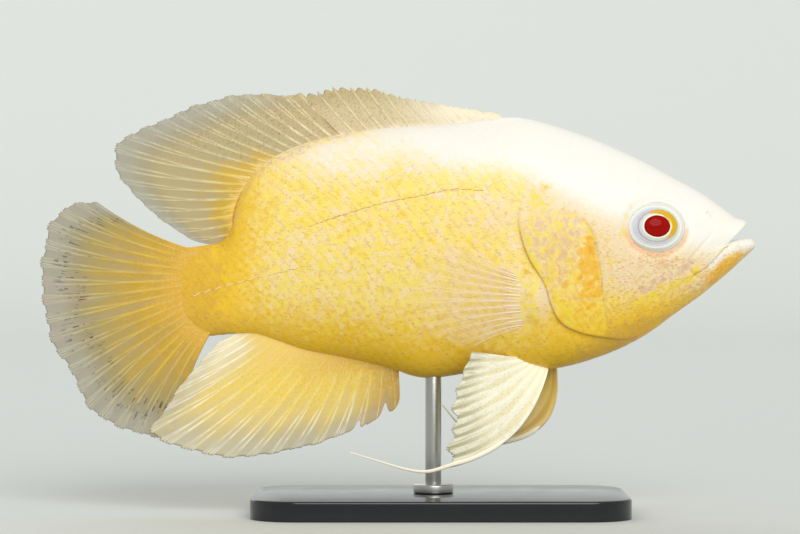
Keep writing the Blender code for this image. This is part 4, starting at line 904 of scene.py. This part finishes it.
# Wet web between bone: nearly clear at the rim and thick with pigment at the root, where
# scales cover it. The rays are paler and jointed, and the web has fine brownish flecks.
def fin_finish(name, root, middle, rim, root_reach, solid, flesh=None, flesh_reach=0.12, core=(0.25, 0.75),
               flecks=0.0, fleck_from=-1.0, fleck_to=2.0, dashes=0.0, mauve=0.3, grain=0.0, threads=120.0,
               from_share=-1.0, to_share=2.0, fade=0.12, comb=0, evenness=0.45, front=None, back=None):
    """root, middle and rim each give the colour of the rays and of the web there; solid says
    how solid the rays, the web, the web at the rim and the rays at the rim are. The pigment of
    the root reaches root_reach up the fin, from one share of its length to another. Towards the
    rim the rays split up in this many threads. flesh is the colour of the body, at both ends;
    front and back give the colours of rays and web at the first and last ray, and their reach;
    comb is how many short strokes stand on the root."""
    made, shader, add, where = new_finish(name)
    ray_here, reach, along_root = (add("Attribute", attribute_name=key).node.outputs["Fac"]
                                   for key in ("ray", "reach", "share"))
    coarse, fine = add("TexNoise", where, 1 / (4 * MM), 3.0), add("TexNoise", where, 1 / (0.6 * MM), 2.0)
    streaks, thread, uneven = (
        add("TexNoise", add("CombineXYZ", add("Math MULTIPLY", along_root, across),
                            add("Math MULTIPLY", reach, up)), 1.0, detail)
        for across, up, detail in ((26.0, 1.6, 2.0), (threads, 5.0, 1.0), (44.0, 7.0, 2.0)))

    # The colours of web and rays from root to rim, and at the ends
    wobble = stirred(add, reach, coarse, 0.3)
    broken = stirred(add, wobble, thread, 0.3)
    wobble = stirred(add, wobble, streaks, min(0.7, 1.2 * root_reach))
    rooted = faded(add, 1.0, (along_root, from_share - fade, from_share),
                   (along_root, to_share + fade, to_share - fade),
                   (wobble, root_reach * 1.4, root_reach * 0.4))
    near_rim = faded(add, 1.0, (reach, 0.6, 0.98))
    bone, web = (add("Mix RGBA", near_rim, linear(a), linear(b)) for a, b in zip(middle, rim))
    bone, web = (add("Mix RGBA", rooted, a, linear(b)) for a, b in zip((bone, web), root))
    ended = 0.0
    for end, first in ((front, 0.0), (back, 1.0)):
        if end:
            near_end = faded(add, 1.0, (stirred(add, along_root, coarse, 0.1), abs(first - end[2]), first))
            bone, web = (add("Mix RGBA", near_end, a, linear(b)) for a, b in zip((bone, web), end))
            ended = add("Math MAXIMUM", ended, near_end)
    ray_share = faded(add, add("MapRange LINEAR", uneven, 0.35, 0.55, evenness, 1.0), (ray_here, *core))
    colour = add("Mix RGBA", ray_share, web, bone)
    colour = add("Mix RGBA", faded(add, 0.6, (reach, 0.15, 0.85), (thread, 0.5, 0.34)), colour, web)

    # What lies over them: a mauve bloom, dark dashes near the rim, the grain of the scales at
    # the root, brownish flecks, and the flesh of the body
    layers = [("#BBA48E", faded(add, mauve, (streaks, 0.5, 0.7)))]
    if dashes:
        blots = add("TexNoise", where, 1 / (2.2 * MM), 2.0)
        layers.append(("#45402F", faded(add, dashes, (reach, 0.66, 0.76), (reach, 0.95, 0.88),
                                        (thread, 0.46, 0.38), (blots, 0.48, 0.56))))
    if grain:
        grained = add("Math MULTIPLY", rooted, grain)
        layers += [("#EED0A4", faded(add, grained, (fine, 0.48, 0.6))),
                   ("#DDB43C", faded(add, grained, (fine, 0.46, 0.36)))]
    if flecks:
        layers.append(("#8E7A55", faded(
            add, flecks, (fine, 0.54, 0.64), (reach, 0.06, 0.3), (along_root, fleck_to + 0.2, fleck_to - 0.2),
            (along_root, fleck_from - 0.2, fleck_from + 0.2))))
    for code, share in layers:
        colour = add("Mix RGBA", share, colour, linear(code))
    if flesh:
        body = add("Mix RGBA", faded(add, 1.0, (along_root, 0.1, 0.9)), linear(flesh[0]), linear(flesh[1]))
        body = add("Mix RGBA", faded(add, 0.22, (fine, 0.48, 0.6)), body, linear("#F0D8B0"))
        fleshy = faded(add, 1.0, (broken, flesh_reach * 1.5, flesh_reach * 0.2))
        colour = add("Mix RGBA", fleshy, colour, body)

    # How solid it is
    solid_ray, solid_web, solid_rim, solid_ray_rim = solid
    thick_web = add("Math MAXIMUM", faded(add, solid_web - solid_rim, (near_rim, 1.0, 0.0)),
                    add("Math MULTIPLY", rooted, 1.0 - solid_rim))
    thick_web = add("Math MAXIMUM", add("Math ADD", thick_web, solid_rim), add("Math MULTIPLY", ended, 0.92))
    rays_solid = add("MapRange LINEAR", reach, 0.1, 1.0, solid_ray, solid_ray_rim)
    there = add("Math MAXIMUM", add("Math MULTIPLY", ray_share, rays_solid), thick_web)
    if comb:
        teeth = add("Math SINE", add("Math MULTIPLY", along_root, comb * 2 * math.pi))
        drawn_out = add("Math MULTIPLY_ADD", add("Math MULTIPLY_ADD", streaks, 0.1, reach), -4.4, teeth)
        stroke = faded(add, 1.0, (drawn_out, -0.5, -0.1))
        colour = add("Mix RGBA", stroke, colour, linear("#FFECCC"))
        there = add("Math MAXIMUM", there, add("Math MULTIPLY", stroke, 0.9))

    joints = add("Math MULTIPLY", add("Math SINE", add("Math MULTIPLY", reach, 260.0)), ray_here)
    bump = add("Bump", 0.4, 0.05 * MM)
    feed(bump.node, {"Height": add("Math MULTIPLY_ADD", joints, 0.3, add("Math ADD", fine, thread))})
    feed(shader, {"Base Color": colour, "Alpha": there, "Roughness": 0.42, "IOR": 1.4,
                  "Specular IOR Level": 0.35, "Normal": bump})
    return made


spine_fin = fin_finish("spiny_fin_of_the_back", ("#FBF3DC", "#F1E5C6"), ("#F0E2B8", "#D6C296"),
                       ("#F3E4B4", "#CAB686"), 2.0, (1.0, 0.97, 0.93, 1.0), ("#FBF5E4", "#F0DCC0"), 0.16,
                       flecks=0.4, fleck_from=0.5, mauve=0.25, to_share=0.45, fade=0.25)
back_fin = fin_finish("soft_fin_of_the_back", ("#EBD06C", "#D4AC46"), ("#DED0A2", "#BEAC7E"),
                      ("#CFCBB4", "#ACA68C"), 0.3, (1.0, 0.95, 0.58, 0.95), ("#E6D2B2", "#EFC858"), 0.09,
                      flecks=0.45, fleck_to=0.5, mauve=0.25, threads=110.0, from_share=0.42,
                      front=("#F0E2B6", "#CBB586", 0.34))
belly_fin = fin_finish("fin_of_the_belly", ("#F3DA66", "#EFCF56"), ("#FAF2D4", "#D9C48E"),
                       ("#EFE8D0", "#CCC2A0"), 0.7, (1.0, 0.97, 0.68, 0.95), ("#DFAE42", "#F2D06A"), 0.26,
                       mauve=0.08, grain=0.35, threads=130.0, to_share=0.8,
                       front=("#E2C064", "#C09846", 0.26), back=("#FFF9E0", "#EFE2BA", 0.3))
tail_fin = fin_finish("fin_of_the_tail", ("#DDBB48", "#CCA236"), ("#CAB778", "#AF9B60"),
                      ("#CBC4A6", "#A79F84"), 0.56, (1.0, 0.96, 0.56, 0.92), ("#E3B03E", "#E3B03E"), 0.24,
                      dashes=0.85, mauve=0.4, grain=0.12, threads=150.0)
chest_fin = fin_finish("clear_chest_fin", ("#FFF3E0", "#E8BE90"), ("#FBE6D4", "#F7E6C8"),
                       ("#FBE9D8", "#F4E6CE"), 0.07, (0.5, 0.09, 0.02, 0.03), core=(0.0, 0.5), mauve=0.0,
                       threads=60.0, comb=20, evenness=1.0)
hip_fin = fin_finish("pale_pelvic_fin", ("#FFFAE0", "#FBEEC0"), ("#FFFAE2", "#F6EAC0"),
                     ("#F4EFD4", "#C4BC94"), 0.4, (1.0, 0.98, 0.9, 1.0), core=(0.0, 0.5), mauve=0.0,
                     flecks=0.16, threads=50.0, evenness=0.9)
# The far pelvic fin is the same fin as the near one, painted darker and more ochre: painted shade, for it
# lies in the shadow of the body.
shaded_hip_fin = fin_finish("pelvic_fin_in_painted_shade", ("#ECCB6E", "#DDB352"), ("#EBD088", "#D8B35C"),
                            ("#E8D5A6", "#C9B484"), 0.4, (1.0, 0.98, 0.9, 1.0), core=(0.0, 0.36), mauve=0.0,
                            threads=50.0, evenness=1.0)
bone_thread = fin_finish("bare_ray_thread", ("#FFF9E6", "#FFF6DC"), ("#FFF6DC", "#FFF6DC"),
                         ("#F6EEDC", "#F6EEDC"), 0.5, (1.0, 1.0, 1.0, 1.0), mauve=0.0, threads=1.0)

fin("fin_back_spiny", "dorsal_fin_front", spine_fin, SPINY_ROOT, SPINY_EDGE, lambda t: 0.02, DORSAL_SPINES,
    0, 34, lambda x, z, u, v, run: 0.7 * v * np.sin(7 * u), 3.0, 0.4, 0.3, notch=0.12, bold=0.7)

# The soft part starts with the wave that the spiny part ends with
soft_wave = 0.7 * math.sin(7.0)
fin("fin_back_soft", "dorsal_fin_rear", back_fin, SOFT_ROOT, SOFT_EDGE, lambda t: 0.02 + 0.01 * t, 0,
    DORSAL_RAYS, 64, lambda x, z, u, v, run: v * (soft_wave + 0.6 * np.sin(9 * u)), 3.2, 0.22, 0.26,
    ragged=0.028, bold=0.66)

fin("fin_anal", "anal_fin", belly_fin, ANAL_ROOT, ANAL_EDGE, lambda t: 0.03, ANAL_SPINES, ANAL_RAYS, 60,
    lambda x, z, u, v, run: 0.5 * v * np.sin(10 * u) - run * (0.03 + 0.2 * u), 3.0, 0.25, 0.26,
    ragged=0.025, bold=0.7, bare_from=0.5, clefts=((0.088, 0.2, 0.009), (0.172, 0.14, 0.009)))

fin("fin_tail", "caudal_fin", tail_fin, CAUDAL_ROOT, CAUDAL_EDGE, lambda t: 0.05 - 0.1 * t, 0, CAUDAL_RAYS,
    80, lambda x, z, u, v, run: 0.8 * v * np.sin(8 * u), 4.0, 0.3, 0.26, ragged=0.025, bold=0.66,
    bare_from=0.3)

for name, side in (("right", -1), ("left", 1)):
    spread = PECTORAL_SPREAD if side < 0 else PECTORAL_SPREAD_FAR

    def off_flank(x, z, u, v, run):
        return side * (half_width(x, z) - 0.7 + 1.9 * ease(0, 0.42, v) + spread * v**1.5)

    fin(f"fin_pectoral_{name}", f"pectoral_fin_{name}", chest_fin, PECTORAL_ROOT, PECTORAL_EDGE,
        lambda t: 0.05 - 0.1 * t, 0, PECTORAL_RAYS, 50, off_flank, 1.1, 0.2, 0.2, ragged=0.02, web=0.1,
        bold=0.6)

    tip_y, front_y, back_y, bow = (12.0, 3.0, 5.8, 0.165) if side < 0 else (9.0, 3.0, 5.4, 0.28)

    def below_throat(x, z, u, v, run):
        wanted = front_y + (back_y - front_y) * u + (tip_y - front_y) * v**0.6
        clear = np.where(v > 0.3, half_width(x, z) + 0.9, 0.0)
        return side * np.maximum(wanted, clear)

    fin(f"fin_pelvic_{name}", f"pelvic_fin_{name}", hip_fin if side < 0 else shaded_hip_fin,
        PELVIC_ROOT[side], PELVIC_EDGE[side], lambda t: bow * (1 - t) ** 1.5, 0, PELVIC_RAYS, 64,
        below_throat, 1.6, 0.2, 0.26, ragged=0.05, web=0.16, bold=1.2, lobed=1.0, fork=0.25)

    # The first soft ray runs on as a long free thread
    share_u, share_v = np.full(5, 0.02), np.linspace(0.55, 0.97, 5)
    flat, _ = bowed(PELVIC_ROOT[side], PELVIC_EDGE[side], share_u, share_v, lambda t: bow * 0.97)
    deep = below_throat(flat[:, 0], flat[:, 1], share_u, share_v, 0)
    thread = [(a, b, c) for (a, c), b in zip(flat, deep)] + [(a, deep[-1], c) for a, c in FILAMENT[side]]
    line = smooth_curve(thread, np.linspace(0, len(thread) - 1, 70))
    thick = np.interp(np.linspace(0, 1, 70), [0, 0.1, 0.4, 1], [0.1, 0.75, 0.72, 0.16])
    piece = tube_of(f"pelvic_thread_{name}", line, thick, 15, flat=0.6)
    merge_points(piece, 1e-6)
    dress(piece, bone_thread, "fin_membrane", f"pelvic_filament_{name}")


# Stand. A slab of dark cast acrylic with rounded, flame polished edges, and a rod of brushed
# stainless steel that goes up into the belly through a turned collar on the slab.
BASE = (112.0, 68.0, 6.0)
BASE_CORNER, BASE_EDGE = 14.0, 0.7
ROD_X, ROD_RADIUS, ROD_EDGE = -2.0, 2.4, 0.3
COLLAR_RADIUS, COLLAR_EDGE = 6.0, 0.5

# Polished acrylic, near black: a little haze, 9 mm across, dulls its gloss here and there.
acrylic, shader, add, where = new_finish("cast_acrylic_flame_polished")
haze = add("TexNoise", where, 1 / (9 * MM), 4.0)
feed(shader, {"Base Color": linear("#17181B"), "IOR": 1.49,
              "Roughness": add("MapRange LINEAR", haze, 0.0, 1.0, 0.06, 0.2)})

# Brushed stainless steel: scratches 0.25 mm wide run along it and stretch the highlights.
steel, shader, add, where = new_finish("brushed_stainless_steel")
stretched = add("Mapping", where, (0, 0, 0), (0, 0, 0), (1.0, 1.0, 0.06))
scratches = add("TexNoise", stretched, 1 / (0.25 * MM), 3.0)
feed(shader, {"Base Color": linear("#B9B8B4"), "Metallic": 1.0,
              "Roughness": add("MapRange LINEAR", scratches, 0.0, 1.0, 0.2, 0.42)})


def bevelled(piece, width, segments, upright=False):
    """Bevels the edges that stand upright, or else the level ones above the floor."""
    bpy.ops.object.mode_set(mode="EDIT")
    bpy.ops.mesh.select_mode(type="EDGE")
    bpy.ops.mesh.select_all(action="DESELECT")
    bpy.ops.object.mode_set(mode="OBJECT")
    for edge in piece.data.edges:
        a, b = (piece.data.vertices[i].co.z for i in edge.vertices)
        edge.select = abs(a - b) > MM if upright else abs(a - b) < 1e-6 and max(a, b) > 0
    bpy.ops.object.mode_set(mode="EDIT")
    bpy.ops.mesh.bevel(offset=width * MM, segments=segments, affect="EDGES")
    bpy.ops.object.mode_set(mode="OBJECT")


bpy.ops.object.select_all(action="DESELECT")
bpy.ops.mesh.primitive_cube_add(size=1, location=(0, 0, BASE[2] / 2 * MM))
slab = bpy.context.object
slab.name = slab.data.name = "base_slab"
slab.scale = [s * MM for s in BASE]
bpy.ops.object.transform_apply(location=True, rotation=True, scale=True)
bevelled(slab, BASE_CORNER, 24, upright=True)
bevelled(slab, BASE_EDGE, 4)
bpy.ops.object.shade_smooth_by_angle(angle=math.radians(40))
dress(slab, acrylic, "stand_base", "stand_base")

for name, radius, edge, node in (("steel_rod", ROD_RADIUS, ROD_EDGE, "stand_rod"),
                                 ("steel_collar", COLLAR_RADIUS, COLLAR_EDGE, "stand_collar")):
    low, high = (corner.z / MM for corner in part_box(node))
    low = BASE[2] if node == "stand_collar" else low
    bpy.ops.object.select_all(action="DESELECT")
    bpy.ops.mesh.primitive_cylinder_add(vertices=96, radius=radius * MM, depth=(high - low) * MM,
                                        location=(ROD_X * MM, 0, (low + high) / 2 * MM))
    piece = bpy.context.object
    piece.name = piece.data.name = name
    bpy.ops.object.transform_apply(location=True, rotation=True, scale=True)
    bevelled(piece, edge, 3)
    bpy.ops.object.shade_smooth_by_angle(angle=math.radians(30))
    dress(piece, steel, "stand_steel", node)


# The studio: a pale matt floor that runs up all round into a backdrop, far from the model,
# two wide lights far away and an even sky. The camera looks at the fish's right side.
FLOOR_FLAT, FLOOR_REACH, WALL = 2.2, 4.0, 0.9      # metres
LIGHTS = (("soft_key", (0.2, -0.85, 0.5), 1.78, 40), ("soft_back", (-0.3, 0.75, 0.6), 0.6, 50))

bpy.ops.object.select_all(action="DESELECT")
bpy.ops.mesh.primitive_circle_add(vertices=96, radius=FLOOR_REACH, fill_type="TRIFAN", location=(0, 0, 0))
floor = bpy.context.object
floor.name = floor.data.name = "studio_floor"
bpy.ops.object.mode_set(mode="EDIT")
bpy.ops.mesh.select_all(action="SELECT")
bpy.ops.mesh.subdivide(number_cuts=30)
bpy.ops.object.mode_set(mode="OBJECT")
for vertex in floor.data.vertices:
    away = math.hypot(vertex.co.x, vertex.co.y)
    vertex.co.z = WALL * float(ease(FLOOR_FLAT, FLOOR_REACH, away)) ** 1.5
bpy.ops.object.shade_smooth()
paper, shader, _, _ = new_finish("matt_backdrop_paper")
feed(shader, {"Base Color": linear("#D4D7D1"), "Roughness": 0.9})
floor.data.materials.append(paper)

world = bpy.data.worlds.new("studio_sky")
world.use_nodes = True
feed(world.node_tree.nodes["Background"], {"Color": linear("#F4F7FA"), "Strength": 0.62})
bpy.context.scene.world = world

for name, towards, strength, angle in LIGHTS:
    light = bpy.data.lights.new(name, "SUN")
    light.energy, light.angle = strength, math.radians(angle)
    lamp = bpy.data.objects.new(name, light)
    lamp.rotation_euler = Vector(towards).to_track_quat("Z", "Y").to_euler()
    bpy.context.scene.collection.objects.link(lamp)

camera = bpy.data.cameras.new("camera")
camera.lens, camera.sensor_width = 135.0, 36.0
camera_object = bpy.data.objects.new("camera", camera)
camera_object.location = (-0.012, -0.9, 0.0738)
camera_object.rotation_euler = (math.pi / 2, 0, 0)
bpy.context.scene.collection.objects.link(camera_object)
bpy.context.scene.camera = camera_object
bpy.context.scene.view_settings.view_transform = "Standard"
